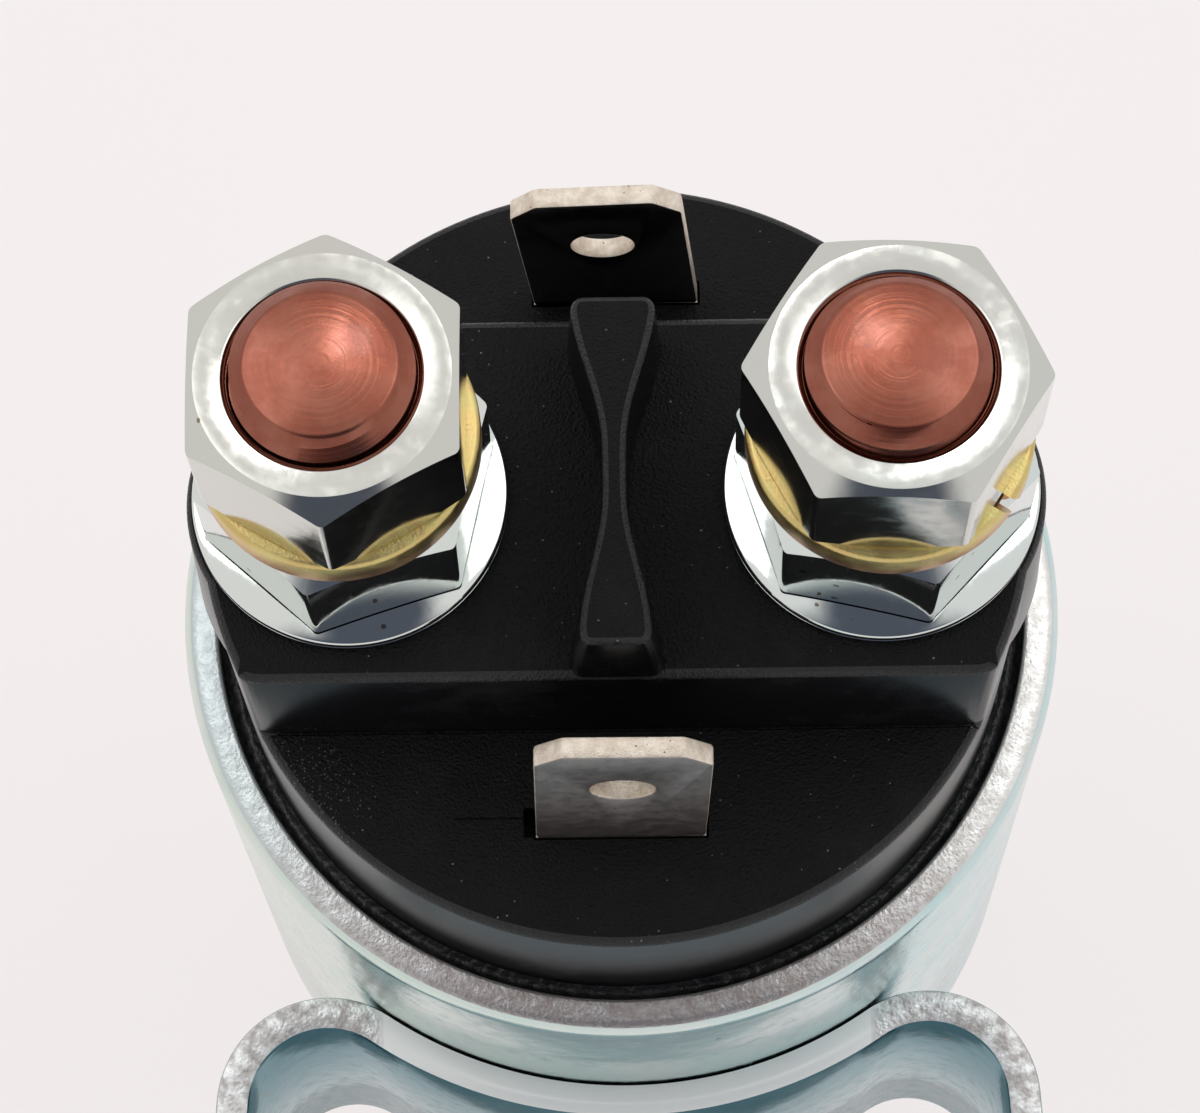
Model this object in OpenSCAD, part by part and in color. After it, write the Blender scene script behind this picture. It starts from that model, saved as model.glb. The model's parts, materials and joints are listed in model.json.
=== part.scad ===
// Starter solenoid relay: a steel can on a strip bracket, a moulded cap with two
// copper studs and two blade terminals, and the magnet, plunger and contact inside.
// Origin: centre of the underside of the can. +Z runs up the can, the bracket is on -Y.

/* [Can] */
// Outside diameter of the can
can_d = 51.9; // [50:0.1:54]
// Sheet thickness of the can
can_wall = 2.1; // [1.6:0.1:2.4]
// Height of the can, from its underside to its cut rim
can_h = 48; // [44:0.5:54]
// Outside radius between the floor and the side
can_corner_r = 3; // [2.5:0.1:4]

/* [Mounting bracket] */
// Thickness of the strip
strip_t = 2; // [1.5:0.1:2.6]
// Width of the strip, along the can
strip_w = 25; // [16:1:28]
// Distance from the rim down to the strip
strip_drop = 14.5; // [12:0.5:18]
// Half of the angle over which the strip hugs the can
saddle_angle = 34; // [28:1:38]
// Inside radius of the curled horns
horn_r = 4.7; // [4:0.1:5.4]
// Outward lean of the legs
leg_splay = 3; // [0:1:6]
// Inside radius of the bend at each foot
foot_bend_r = 3; // [2:0.5:3.5]
// Distance from the can's axis to the mounting face
foot_setback = 36; // [35:0.5:40]
// Distance between the two mounting holes
foot_spacing = 68; // [66:1:76]
// Diameter of the mounting holes
foot_hole_d = 6.8; // [5:0.1:8]
// Distance from a mounting hole to the end of the foot
foot_margin = 7; // [6:0.5:10]
// Corner radius of the feet
foot_corner_r = 5; // [2:0.5:6]

/* [Cap] */
// Gap between the cap and the can, filled with sealing compound
cap_gap = 1.05; // [0.8:0.05:1.4]
// Wall thickness of the cap
cap_wall = 2.2; // [1.8:0.1:2.6]
// Roof thickness of the lower steps
cap_roof = 3.05; // [2.5:0.05:3.5]
// Height of the lower steps above the rim of the can
step_rise = 9.05; // [7:0.05:12]
// Height of the platform above the lower steps
platform_h = 10.25; // [8:0.05:12]
// Width of the platform, front to back
platform_w = 20.8; // [19:0.1:22]
// Height of the wide foot of the cap inside the can
cap_foot_h = 6; // [4:0.5:7]
// Height of the barrier rib above the platform
rib_h = 6; // [4:0.5:8]
// Width of the rib at its two ends
rib_end_w = 5.8; // [4.5:0.1:6.5]
// Width of the rib at its waist
rib_waist_w = 1.85; // [1.4:0.05:3]
// Length of the straight part of the waist
rib_waist_len = 2.4; // [1:0.2:6]
// Distance from the rear edge of the platform to the rib
rib_setback = 0.7; // [0.2:0.1:1.5]

/* [Studs and nuts] */
// Distance from the side of the cap in to the middle of a stud
stud_inset = 8.3; // [7.8:0.1:9]
// Diameter of the studs
stud_d = 9.525; // [9:0.025:10]
// How far a stud stands past its nut
stud_proud = 1.7; // [1:0.1:3]
// Diameter of a stud's inner head
head_d = 13; // [12:0.1:14]
// Thickness of a stud's inner head
head_t = 3.5; // [2.5:0.1:4]
// Width across flats of the flange nuts
flange_nut_af = 14.25; // [13.5:0.05:15]
// Width across flats of the plain nuts
nut_af = 13.8; // [13.5:0.05:15]
// Height of the flange nuts
flange_nut_h = 8.5; // [7:0.1:10]
// Diameter of the flange
flange_d = 17.3; // [16.6:0.1:18]
// Thickness of the flange at its edge
flange_edge_t = 0.9; // [0.7:0.1:1.4]
// Height of the plain nuts
nut_h = 8.3; // [6:0.1:9]
// Outside diameter of the lock washers
lock_d = 15.2; // [14.6:0.1:15.6]
// Thickness of the lock washers
lock_t = 2.4; // [1.8:0.1:2.8]
// Width of the split in a lock washer
lock_split = 1; // [0.6:0.1:1.6]

/* [Blade terminals] */
// Width of the blades
tab_w = 9.5; // [8:0.1:10]
// Thickness of the blades
tab_t = 1.2; // [0.8:0.1:1.4]
// Height of the blades above the lower steps
tab_rise = 15.2; // [12:0.1:18]
// Distance from the side of the cap in to the middle of a blade
tab_inset = 6.8; // [6.2:0.1:8]
// Bevel at the tip of a blade
tab_bevel = 1.5; // [1:0.1:2]
// Diameter of the hole in a blade
tab_hole_d = 3.8; // [2.5:0.1:4]
// Distance from the tip down to the hole
tab_hole_drop = 6.1; // [4.5:0.1:6.5]
// Inward lean of both blades
tab_inward_lean = 1.2; // [0:0.1:3]
// Sideways lean of the front blade
front_tab_lean = 1.3; // [-3:0.1:4]
// Sideways lean of the rear blade
rear_tab_lean = -3.8; // [-5:0.1:4]

/* [Magnet] */
// Distance from the rim down to the underside of the pole plate
plate_drop = 15; // [14.5:0.5:16]
// Thickness of the pole plate
plate_t = 3; // [2:0.5:3.5]
// Diameter of the plunger
plunger_d = 14.7; // [12:0.1:16]
// Wall thickness of the guide tube
tube_wall = 0.5; // [0.3:0.1:0.8]
// Wall thickness of the bobbin's barrel
bobbin_wall = 1.2; // [0.8:0.1:1.6]
// Thickness of the bobbin's flanges
bobbin_flange_t = 1.5; // [1:0.1:2]
// Gap between the bobbin's flanges and the can
bobbin_gap = 0.55; // [0.2:0.05:1]
// How far the bobbin's flanges stand proud of the winding
winding_inset = 2.8; // [2:0.1:4]
// Thickness of the tape over the winding
tape_t = 0.5; // [0.2:0.1:0.8]
// Length of the fixed core below the pole plate
core_len = 10.9; // [8:0.1:13]
// Diameter of the push rod below its shoulder
rod_d = 5; // [4:0.1:5.4]
// Diameter of the push rod above its shoulder
rod_neck_d = 4; // [3:0.1:3.8]
// Diameter of the lead wires
wire_d = 1; // [0.8:0.1:1.2]

/* [Moving contact] */
// Free gap between the contact disc and the stud heads
contact_gap = 2.2; // [1.5:0.1:2.5]
// Travel of the plunger after the contacts have met
overtravel = 0.8; // [0.4:0.1:1]
// Thickness of the contact disc
disc_t = 1.6; // [1.2:0.1:2]
// Length of the contact spring at rest
contact_spring_len = 4; // [3.5:0.1:4.5]
// Curls of the contact spring
contact_spring_turns = 2.5; // [2:0.5:3]
// Curls of the return spring
return_spring_turns = 6; // [4:1:7]

/* [Hidden] */

$fn = 96;
hex_sides = 6;

// Gap of a close fit between two still pieces
fit_gap = 0.05;
// Running clearance of the plunger, the rod and the bush, on the radius
running_gap = 0.06;
// Overrun of every cut past the face that it opens
over = 1;

// Can
can_r = can_d / 2;
can_bore_r = can_r - can_wall;

// Levels of the magnet and the cap, from the floor up
floor_z = can_wall;
plate_z = can_h - plate_drop;
plate_top_z = plate_z + plate_t;
gasket_t = 1.2;
cap_z = plate_top_z + gasket_t;
step_z = can_h + step_rise;
platform_z = step_z + platform_h;
chamber_top_z = step_z - cap_roof;
// Depth of the sealing compound below the rim of the can
seal_drop = 1.4;

// Cap
cap_foot_r = can_bore_r - fit_gap;
cap_r = can_bore_r - cap_gap;
chamber_r = cap_r - cap_wall;
rib_len = platform_w - rib_setback;
// Width and length of the rib's top, as shares of its foot
rib_taper_share = 0.8;
rib_end_taper_share = 0.965;
rib_steps = 16;
// Clearances of the blades and the studs in the cap
slot_gap = 0.15;
stud_gap = 0.1;

// Studs, with a bevelled tip, and what stands on them
stud_x = cap_r - stud_inset;
stud_r = stud_d / 2;
stud_tip_inset = 0.95;
stud_tip_r = stud_r - stud_tip_inset;
stud_tip_h = 0.9;
stud_seal_t = 0.5;
flange_nut_z = platform_z;
lock_z = flange_nut_z + flange_nut_h;
nut_z = lock_z + lock_t;
stud_top_z = nut_z + nut_h + stud_proud;
contact_z = chamber_top_z - stud_seal_t - head_t;
// How far the end bevels of a nut reach into its flats, and their angle
nut_bevel = 0.35;
nut_bevel_angle = 30;
// Slope of the top of a flange
flange_slope = 12;
// How each nut and washer has come to rest on its stud, in degrees
flange_nut_turn_left = 18;
flange_nut_turn_right = 47;
nut_turn_left = 30;
nut_turn_right = -2.5;
lock_turn_left = 100;
lock_turn_right = -38;
lock_slant = 25;

// Blades, and the tail of each inside the cap
tab_y = cap_r - tab_inset;
tail_w = 5;
tail_len = 2;

// Travel of the plunger, which leaves a hair of air below the core
travel = contact_gap + overtravel;
core_rest_gap = 0.05;

// Magnet
plunger_r = plunger_d / 2;
tube_bore_r = plunger_r + running_gap;
tube_r = tube_bore_r + tube_wall;
bobbin_bore_r = tube_r + fit_gap;
barrel_r = bobbin_bore_r + bobbin_wall;
bobbin_r = can_bore_r - bobbin_gap;
winding_r = bobbin_r - winding_inset;
winding_z = floor_z + bobbin_flange_t;
winding_top_z = plate_z - bobbin_flange_t;
core_z = plate_z - core_len;
core_neck_r = 6;
core_head_r = 7;
core_head_t = 1;
insulator_t = 1;
insulator_gap = 1;
insulator_bore_r = core_head_r + insulator_gap;
stop_t = 1;
plunger_z = floor_z + stop_t;
plunger_top_z = core_z - travel - core_rest_gap;
plunger_edge = 0.8;
rod_r = rod_d / 2;
rod_neck_r = rod_neck_d / 2;

// Lead wires, each against its blade, with a loose hole in every piece that they cross
wire_r = wire_d / 2;
wire_y = tab_y + tab_t / 2 + wire_r + fit_gap;
wire_hole_gap = 0.5;
wire_hole_r = wire_r + wire_hole_gap;
wire_lap = 1;

// Return spring, in a pocket of the plunger and a pocket of the core
return_wire_d = 0.9;
return_spring_gap = 0.8;
return_mean_r = rod_r + return_spring_gap + return_wire_d / 2;
pocket_gap = 0.4;
pocket_r = return_mean_r + return_wire_d / 2 + pocket_gap;
plunger_pocket = 6;
core_pocket = 3;
return_spring_z = plunger_top_z - plunger_pocket;
return_spring_len = core_z + core_pocket - return_spring_z;

// Moving contact, from the stud heads down
disc_z = contact_z - contact_gap - disc_t;
// How far the disc reaches past the middle of the studs
disc_reach = 0.5;
disc_r = stud_x + disc_reach;
bush_t = 0.8;
bush_z = disc_z - bush_t;
bush_r = 5.5;
bush_hub_t = 1.25;
bush_hub_r = rod_neck_r + bush_hub_t;
spring_seat_t = 0.8;
contact_spring_z = bush_z - contact_spring_len;
spring_seat_z = contact_spring_z - spring_seat_t;
contact_wire_d = 0.8;
contact_spring_gap = 1;
contact_mean_r = rod_neck_r + contact_spring_gap + contact_wire_d / 2;
upper_washer_z = disc_z + disc_t;
clip_z = upper_washer_z + bush_t;
clip_t = 0.8;
clip_r = 4;
clip_groove = 0.5;
clip_mouth = 2.4;
rod_tip = 1;
rod_top_z = clip_z + clip_t + rod_tip;

// Rings to a curl and sides to the wire of the springs
spring_rings = 8;
spring_sides = 6;

// Bracket: the strip runs round the can, back round each horn, down each leg and out to a foot.
// Its stretches are worked out along the middle of the strip, and its bends lap a little
// over the stretches that they join.
strip_half = strip_t / 2;
lap_angle = 0.4;
saddle_r = can_r + fit_gap;
horn_mid_r = horn_r + strip_half;
horn_reach = saddle_r + strip_half + horn_mid_r;
horn_x = horn_reach * sin(saddle_angle);
horn_y = -horn_reach * cos(saddle_angle);
leg_x = horn_x + horn_mid_r * cos(leg_splay);
leg_y = horn_y + horn_mid_r * sin(leg_splay);
bend_mid_r = foot_bend_r + strip_half;
bend_y = -foot_setback + strip_half + bend_mid_r;
leg_end_y = bend_y - bend_mid_r * sin(leg_splay);
leg_len = (leg_y - leg_end_y) / cos(leg_splay);
bend_x = leg_x + leg_len * sin(leg_splay) + bend_mid_r * cos(leg_splay);
foot_end_x = foot_spacing / 2 + foot_margin;
strip_z = can_h - strip_drop - strip_w;

// A ring cut down to the angles from a0 to a1, less than half a turn apart,
// which runs a little into the stretches that it joins
module ring_sector(r_in, r_out, a0, a1) {
    reach = 2 * r_out;
    angles = [a0 - lap_angle, (a0 + a1) / 2, a1 + lap_angle];
    intersection() {
        difference() {
            circle(r_out);
            circle(r_in);
        }
        polygon(concat([[0, 0]], [for (a = angles) reach * [cos(a), sin(a)]]));
    }
}

// The strip's course on the right side, seen from above
module half_strip() {
    ring_sector(saddle_r, saddle_r + strip_t, -90, -90 + saddle_angle);
    translate([horn_x, horn_y])
        ring_sector(horn_r, horn_r + strip_t, leg_splay, 90 + saddle_angle);
    translate([leg_x, leg_y])
        rotate(leg_splay)
            translate([-strip_half, -leg_len])
                square([strip_t, leg_len]);
    translate([bend_x, bend_y])
        ring_sector(foot_bend_r, foot_bend_r + strip_t, 180 + leg_splay, 270);
    translate([bend_x, -foot_setback])
        square([foot_end_x - bend_x, strip_t]);
}

// A rectangle with round corners, centred
module round_rect(w, h, r) {
    square([w - 2 * r, h], center = true);
    square([w, h - 2 * r], center = true);
    for (x = [-1, 1])
        for (y = [-1, 1])
            translate([x * (w / 2 - r), y * (h / 2 - r)])
                circle(r);
}

module mounting_bracket() {
    color([0.72, 0.82, 0.82])
    difference() {
        intersection() {
            translate([0, 0, strip_z])
                linear_extrude(strip_w) {
                    half_strip();
                    mirror([1, 0]) half_strip();
                }
            translate([0, 0, strip_z + strip_w / 2])
                rotate([90, 0, 0])
                    linear_extrude(foot_setback + over)
                        round_rect(2 * foot_end_x, strip_w, foot_corner_r);
        }
        for (side = [-1, 1])
            translate([side * foot_spacing / 2, -foot_setback - over, strip_z + strip_w / 2])
                rotate([-90, 0, 0])
                    cylinder(h = strip_t + 2 * over, d = foot_hole_d);
    }
}

// Half section of a cup with a round corner at its foot
module cup_section(r, corner, z0, z1) {
    translate([0, z0]) square([r - corner, z1 - z0]);
    translate([0, z0 + corner]) square([r, z1 - z0 - corner]);
    translate([r - corner, z0 + corner])
        intersection() {
            circle(corner);
            translate([0, -corner]) square(corner);
        }
}

module can() {
    color([0.78, 0.88, 0.85])
    rotate_extrude()
        difference() {
            cup_section(can_r, can_corner_r, 0, can_h);
            cup_section(can_bore_r, can_corner_r - can_wall, floor_z, can_h + over);
        }
}

// A plain ring or washer
module ring(r_in, r_out, z, h) {
    translate([0, 0, z])
        difference() {
            cylinder(h = h, r = r_out);
            translate([0, 0, -over]) cylinder(h = h + 2 * over, r = r_in);
        }
}

// Half width of the rib at a distance y from its waist
function rib_half_w(y) =
    let (run = rib_len / 2 - rib_waist_len / 2,
        share = max(0, abs(y) - rib_waist_len / 2) / run)
    rib_waist_w / 2 + (rib_end_w - rib_waist_w) / 2 * (1 - cos(180 * share)) / 2;

module barrier_rib() {
    ys = [for (i = [-rib_steps : rib_steps]) rib_len / 2 * i / rib_steps];
    right = [for (y = ys) [rib_half_w(y), y]];
    left = [for (y = ys) [-rib_half_w(y), -y]];
    translate([0, -rib_setback / 2, platform_z])
        linear_extrude(rib_h, scale = [rib_taper_share, rib_end_taper_share], slices = 1)
            polygon(concat(right, left));
}

module terminal_cap() {
    slot = [tab_w + 2 * slot_gap, tab_t + 2 * slot_gap, cap_roof + 2 * over];
    color([0.09, 0.09, 0.1])
    difference() {
        union() {
            translate([0, 0, cap_z]) cylinder(h = cap_foot_h, r = cap_foot_r);
            translate([0, 0, cap_z]) cylinder(h = step_z - cap_z, r = cap_r);
            intersection() {
                translate([0, 0, chamber_top_z])
                    cylinder(h = platform_z - chamber_top_z, r = cap_r);
                translate([-can_r, -platform_w / 2, chamber_top_z])
                    cube([can_d, platform_w, platform_z - chamber_top_z]);
            }
            barrier_rib();
        }
        translate([0, 0, cap_z - over])
            cylinder(h = chamber_top_z - cap_z + over, r = chamber_r);
        for (side = [-1, 1]) {
            translate([side * stud_x, 0, chamber_top_z - over])
                cylinder(h = platform_z - chamber_top_z + 2 * over, r = stud_r + stud_gap);
            translate([-slot.x / 2, side * tab_y - slot.y / 2, chamber_top_z - over])
                cube(slot);
        }
    }
}

module seal_ring() {
    z = cap_z + cap_foot_h;
    color([0.05, 0.05, 0.06]) ring(cap_r + fit_gap, can_bore_r - fit_gap, z, can_h - seal_drop - z);
}

module cap_gasket() {
    color([0.15, 0.15, 0.15]) ring(chamber_r, cap_foot_r, plate_top_z, gasket_t);
}

// Lead wires pass through the pieces above the winding
module wire_holes(z, h) {
    for (side = [-1, 1])
        translate([0, side * wire_y, z - over])
            cylinder(h = h + 2 * over, r = wire_hole_r);
}

module insulator_disc() {
    color([0.55, 0.36, 0.2])
    difference() {
        ring(insulator_bore_r, chamber_r - fit_gap, plate_top_z, insulator_t);
        wire_holes(plate_top_z, insulator_t);
    }
}

module pole_plate() {
    color([0.6, 0.61, 0.62])
    difference() {
        ring(core_neck_r + fit_gap, can_bore_r - fit_gap, plate_z, plate_t);
        wire_holes(plate_z, plate_t);
    }
}

module core_stop() {
    color([0.58, 0.58, 0.6])
    difference() {
        union() {
            translate([0, 0, core_z]) cylinder(h = core_len, r = plunger_r);
            translate([0, 0, core_z]) cylinder(h = core_len + plate_t, r = core_neck_r);
            translate([0, 0, plate_top_z]) cylinder(h = core_head_t, r = core_head_r);
        }
        translate([0, 0, core_z - over])
            cylinder(h = core_len + plate_t + core_head_t + 2 * over, r = rod_r + running_gap);
        translate([0, 0, core_z - over]) cylinder(h = core_pocket + over, r = pocket_r);
    }
}

module bobbin() {
    color([0.85, 0.83, 0.72])
    difference() {
        union() {
            ring(bobbin_bore_r, barrel_r, floor_z, plate_z - floor_z);
            ring(bobbin_bore_r, bobbin_r, floor_z, bobbin_flange_t);
            ring(bobbin_bore_r, bobbin_r, winding_top_z, bobbin_flange_t);
        }
        wire_holes(winding_top_z, bobbin_flange_t);
    }
}

module coil_winding() {
    color([0.6, 0.28, 0.13])
        ring(barrel_r + fit_gap, winding_r, winding_z, winding_top_z - winding_z);
}

module coil_tape() {
    color([0.8, 0.75, 0.45])
        ring(winding_r + fit_gap, winding_r + fit_gap + tape_t, winding_z, winding_top_z - winding_z);
}

module guide_tube() {
    color([0.8, 0.65, 0.3]) ring(tube_bore_r, tube_r, floor_z, plate_z - floor_z);
}

module lead_wire(side) {
    top_z = chamber_top_z - wire_lap;
    color([0.65, 0.3, 0.15])
        translate([0, side * wire_y, winding_top_z])
            cylinder(h = top_z - winding_top_z, r = wire_r);
}

module stop_washer() {
    color([0.3, 0.3, 0.3])
        translate([0, 0, floor_z]) cylinder(h = stop_t, r = plunger_r);
}

module plunger() {
    color([0.62, 0.63, 0.65])
    translate([0, 0, plunger_z])
        difference() {
            h = plunger_top_z - plunger_z;
            rotate_extrude()
                polygon([[0, 0], [plunger_r - plunger_edge, 0], [plunger_r, plunger_edge],
                    [plunger_r, h], [0, h]]);
            translate([0, 0, -over]) cylinder(h = h + 2 * over, r = rod_r + fit_gap);
            translate([0, 0, h - plunger_pocket])
                cylinder(h = plunger_pocket + over, r = pocket_r);
        }
}

module push_rod() {
    color([0.75, 0.75, 0.76])
    difference() {
        union() {
            translate([0, 0, plunger_z]) cylinder(h = spring_seat_z - plunger_z, r = rod_r);
            translate([0, 0, plunger_z]) cylinder(h = rod_top_z - plunger_z, r = rod_neck_r);
        }
        ring(rod_neck_r - clip_groove, rod_r, clip_z, clip_t);
    }
}

// A helical spring that stands on z = 0
module spring(mean_r, wire_d, turns, length) {
    rings = ceil(spring_rings * turns);
    n = spring_sides;
    points = [for (i = [0 : rings])
        let (a = 360 * turns * i / rings, rise = (length - wire_d) * i / rings)
        for (j = [0 : n - 1])
            let (b = 360 * j / n, r = mean_r + wire_d / 2 * cos(b))
            [r * cos(a), r * sin(a), wire_d / 2 + rise + wire_d / 2 * sin(b)]];
    sides = [for (i = [0 : rings - 1]) for (j = [0 : n - 1])
        let (k = (j + 1) % n)
        each [[i * n + j, i * n + n + j, i * n + k], [i * n + k, i * n + n + j, i * n + n + k]]];
    first_end = [for (j = [1 : n - 2]) [0, j, j + 1]];
    last_end = [for (j = [1 : n - 2]) [rings * n, rings * n + j + 1, rings * n + j]];
    polyhedron(points, concat(sides, first_end, last_end));
}

module return_spring() {
    color([0.5, 0.52, 0.55])
        translate([0, 0, return_spring_z])
            spring(return_mean_r, return_wire_d, return_spring_turns, return_spring_len);
}

module spring_seat() {
    color([0.7, 0.71, 0.72]) ring(rod_neck_r + fit_gap, bush_r, spring_seat_z, spring_seat_t);
}

module contact_spring() {
    color([0.5, 0.52, 0.55])
        translate([0, 0, contact_spring_z])
            spring(contact_mean_r, contact_wire_d, contact_spring_turns, contact_spring_len);
}

module lower_bush() {
    color([0.5, 0.32, 0.2]) {
        ring(rod_neck_r + running_gap, bush_r, bush_z, bush_t);
        ring(rod_neck_r + running_gap, bush_hub_r, bush_z, bush_t + disc_t);
    }
}

module contact_disc() {
    color([0.75, 0.42, 0.28]) ring(bush_hub_r + fit_gap, disc_r, disc_z, disc_t);
}

module upper_washer() {
    color([0.5, 0.32, 0.2]) ring(rod_neck_r + running_gap, bush_r, upper_washer_z, bush_t);
}

module retaining_clip() {
    grip_r = rod_neck_r - clip_groove + fit_gap;
    color([0.45, 0.45, 0.47])
    difference() {
        ring(grip_r, clip_r, clip_z, clip_t);
        translate([0, -clip_mouth / 2, clip_z - over])
            cube([clip_r + over, clip_mouth, clip_t + 2 * over]);
    }
}

module stud(side) {
    color([0.72, 0.36, 0.29]) {
        translate([side * stud_x, 0, 0])
            rotate_extrude()
                polygon([[0, contact_z], [stud_r, contact_z], [stud_r, stud_top_z - stud_tip_h],
                    [stud_tip_r, stud_top_z], [0, stud_top_z]]);
        intersection() {
            translate([side * stud_x, 0, contact_z]) cylinder(h = head_t, d = head_d);
            translate([0, 0, contact_z]) cylinder(h = head_t, r = chamber_r - fit_gap);
        }
    }
}

module stud_seal(side) {
    color([0.12, 0.12, 0.12])
    intersection() {
        translate([side * stud_x, 0, 0])
            ring(stud_r + fit_gap, head_d / 2, contact_z + head_t, stud_seal_t);
        translate([0, 0, contact_z]) cylinder(h = head_t + stud_seal_t + over, r = chamber_r - fit_gap);
    }
}

// A hex prism whose corners are turned off at its ends, by a bevel that reaches a little
// into its flats; a bevel of zero leaves that end sharp
module hex_body(af, h, turn, foot_bevel, top_bevel) {
    flat_r = af / 2;
    reach = flat_r / cos(180 / hex_sides) + over;
    foot_r = foot_bevel > 0 ? flat_r - foot_bevel : reach;
    top_r = top_bevel > 0 ? flat_r - top_bevel : reach;
    intersection() {
        rotate(turn) cylinder(h = h, r = flat_r / cos(180 / hex_sides), $fn = hex_sides);
        rotate_extrude()
            polygon([[0, 0], [foot_r, 0],
                [reach, (reach - foot_r) * tan(nut_bevel_angle)],
                [reach, h - (reach - top_r) * tan(nut_bevel_angle)],
                [top_r, h], [0, h]]);
    }
}

module stud_bore(z, h) {
    translate([0, 0, z - over]) cylinder(h = h + 2 * over, r = stud_r + fit_gap);
}

module flange_nut(side, turn) {
    flange_r = flange_d / 2;
    cone_top_z = flange_edge_t + flange_r * tan(flange_slope);
    color([0.8, 0.83, 0.84])
    translate([side * stud_x, 0, flange_nut_z])
        difference() {
            union() {
                hex_body(flange_nut_af, flange_nut_h, turn, 0, nut_bevel);
                rotate_extrude()
                    polygon([[0, 0], [flange_r, 0], [flange_r, flange_edge_t], [0, cone_top_z]]);
            }
            stud_bore(0, flange_nut_h);
        }
}

module lock_washer(side, turn) {
    color([0.72, 0.6, 0.28])
    translate([side * stud_x, 0, 0])
        difference() {
            ring(stud_r + stud_gap, lock_d / 2, lock_z, lock_t);
            rotate(turn)
                translate([stud_r - over, 0, lock_z + lock_t / 2])
                    rotate([lock_slant, 0, 0])
                        translate([0, -lock_split / 2, -lock_t])
                            cube([lock_d / 2, lock_split, 2 * lock_t]);
        }
}

module terminal_nut(side, turn) {
    color([0.79, 0.8, 0.78])
    translate([side * stud_x, 0, nut_z])
        difference() {
            hex_body(nut_af, nut_h, turn, nut_bevel, nut_bevel);
            stud_bore(0, nut_h);
        }
}

// A blade in its own plane, its foot at z = 0
module blade_outline() {
    polygon([[-tab_w / 2, -tab_t], [tab_w / 2, -tab_t],
        [tab_w / 2, tab_rise - tab_bevel], [tab_w / 2 - tab_bevel, tab_rise],
        [-tab_w / 2 + tab_bevel, tab_rise], [-tab_w / 2, tab_rise - tab_bevel]]);
}

module coil_tab(side, lean) {
    color([0.75, 0.68, 0.6])
    translate([0, side * tab_y, step_z]) {
        difference() {
            rotate([side * tab_inward_lean, lean, 0])
                translate([0, tab_t / 2, 0])
                    rotate([90, 0, 0])
                        linear_extrude(tab_t)
                            difference() {
                                blade_outline();
                                translate([0, tab_rise - tab_hole_drop]) circle(d = tab_hole_d);
                            }
            translate([-tab_w, -tab_w, -tab_w]) cube([2 * tab_w, 2 * tab_w, tab_w]);
        }
        translate([-tab_w / 2, -tab_t / 2, -cap_roof]) cube([tab_w, tab_t, cap_roof]);
        translate([-tail_w / 2, -tab_t / 2, -cap_roof - tail_len])
            cube([tail_w, tab_t, cap_roof + tail_len]);
    }
}

can();
mounting_bracket();
terminal_cap();
seal_ring();
cap_gasket();
insulator_disc();
pole_plate();
core_stop();
bobbin();
coil_winding();
coil_tape();
guide_tube();
lead_wire(-1);  // lead_wire_front
lead_wire(1);  // lead_wire_rear
stop_washer();
plunger();
push_rod();
return_spring();
spring_seat();
contact_spring();
lower_bush();
contact_disc();
upper_washer();
retaining_clip();
stud(-1);  // stud_left
stud(1);  // stud_right
stud_seal(-1);  // stud_seal_left
stud_seal(1);  // stud_seal_right
flange_nut(-1, flange_nut_turn_left);  // flange_nut_left
flange_nut(1, flange_nut_turn_right);  // flange_nut_right
lock_washer(-1, lock_turn_left);  // lock_washer_left
lock_washer(1, lock_turn_right);  // lock_washer_right
terminal_nut(-1, nut_turn_left);  // terminal_nut_left
terminal_nut(1, nut_turn_right);  // terminal_nut_right
coil_tab(-1, front_tab_lean);  // coil_tab_front
coil_tab(1, rear_tab_lean);  // coil_tab_rear
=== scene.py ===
import json
import math

import bpy
from mathutils import Matrix, Vector


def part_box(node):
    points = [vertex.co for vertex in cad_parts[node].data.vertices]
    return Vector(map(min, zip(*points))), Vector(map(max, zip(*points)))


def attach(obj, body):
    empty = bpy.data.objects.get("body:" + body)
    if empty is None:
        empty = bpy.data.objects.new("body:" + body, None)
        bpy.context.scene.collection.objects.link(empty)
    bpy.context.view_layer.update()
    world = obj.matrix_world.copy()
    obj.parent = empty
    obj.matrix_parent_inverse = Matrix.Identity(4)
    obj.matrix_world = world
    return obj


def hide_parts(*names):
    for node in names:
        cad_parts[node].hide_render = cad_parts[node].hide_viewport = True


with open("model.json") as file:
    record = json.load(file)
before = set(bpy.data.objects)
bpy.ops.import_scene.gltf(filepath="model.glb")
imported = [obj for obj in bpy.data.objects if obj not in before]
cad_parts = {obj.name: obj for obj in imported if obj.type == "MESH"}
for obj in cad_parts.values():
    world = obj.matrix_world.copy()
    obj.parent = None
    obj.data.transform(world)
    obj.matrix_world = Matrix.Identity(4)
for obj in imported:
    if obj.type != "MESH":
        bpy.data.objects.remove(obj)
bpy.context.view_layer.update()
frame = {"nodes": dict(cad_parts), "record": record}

mm = 0.001
tiny = 1e-6  # two points closer than this are one

# Heights up the relay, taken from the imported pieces
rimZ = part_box("can")[1].z
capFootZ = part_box("terminal_cap")[0].z
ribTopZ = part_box("terminal_cap")[1].z
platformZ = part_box("flange_nut_left")[0].z
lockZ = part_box("lock_washer_left")[0].z
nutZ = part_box("terminal_nut_left")[0].z
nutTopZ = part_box("terminal_nut_left")[1].z
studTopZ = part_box("stud_left")[1].z
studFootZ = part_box("stud_left")[0].z
studX = (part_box("terminal_nut_right")[0].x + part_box("terminal_nut_right")[1].x) / 2
stepDrop = 10.25 * mm  # from the platform down to the two lower steps
stepZ = platformZ - stepDrop


# Selecting and editing, as by hand

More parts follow.
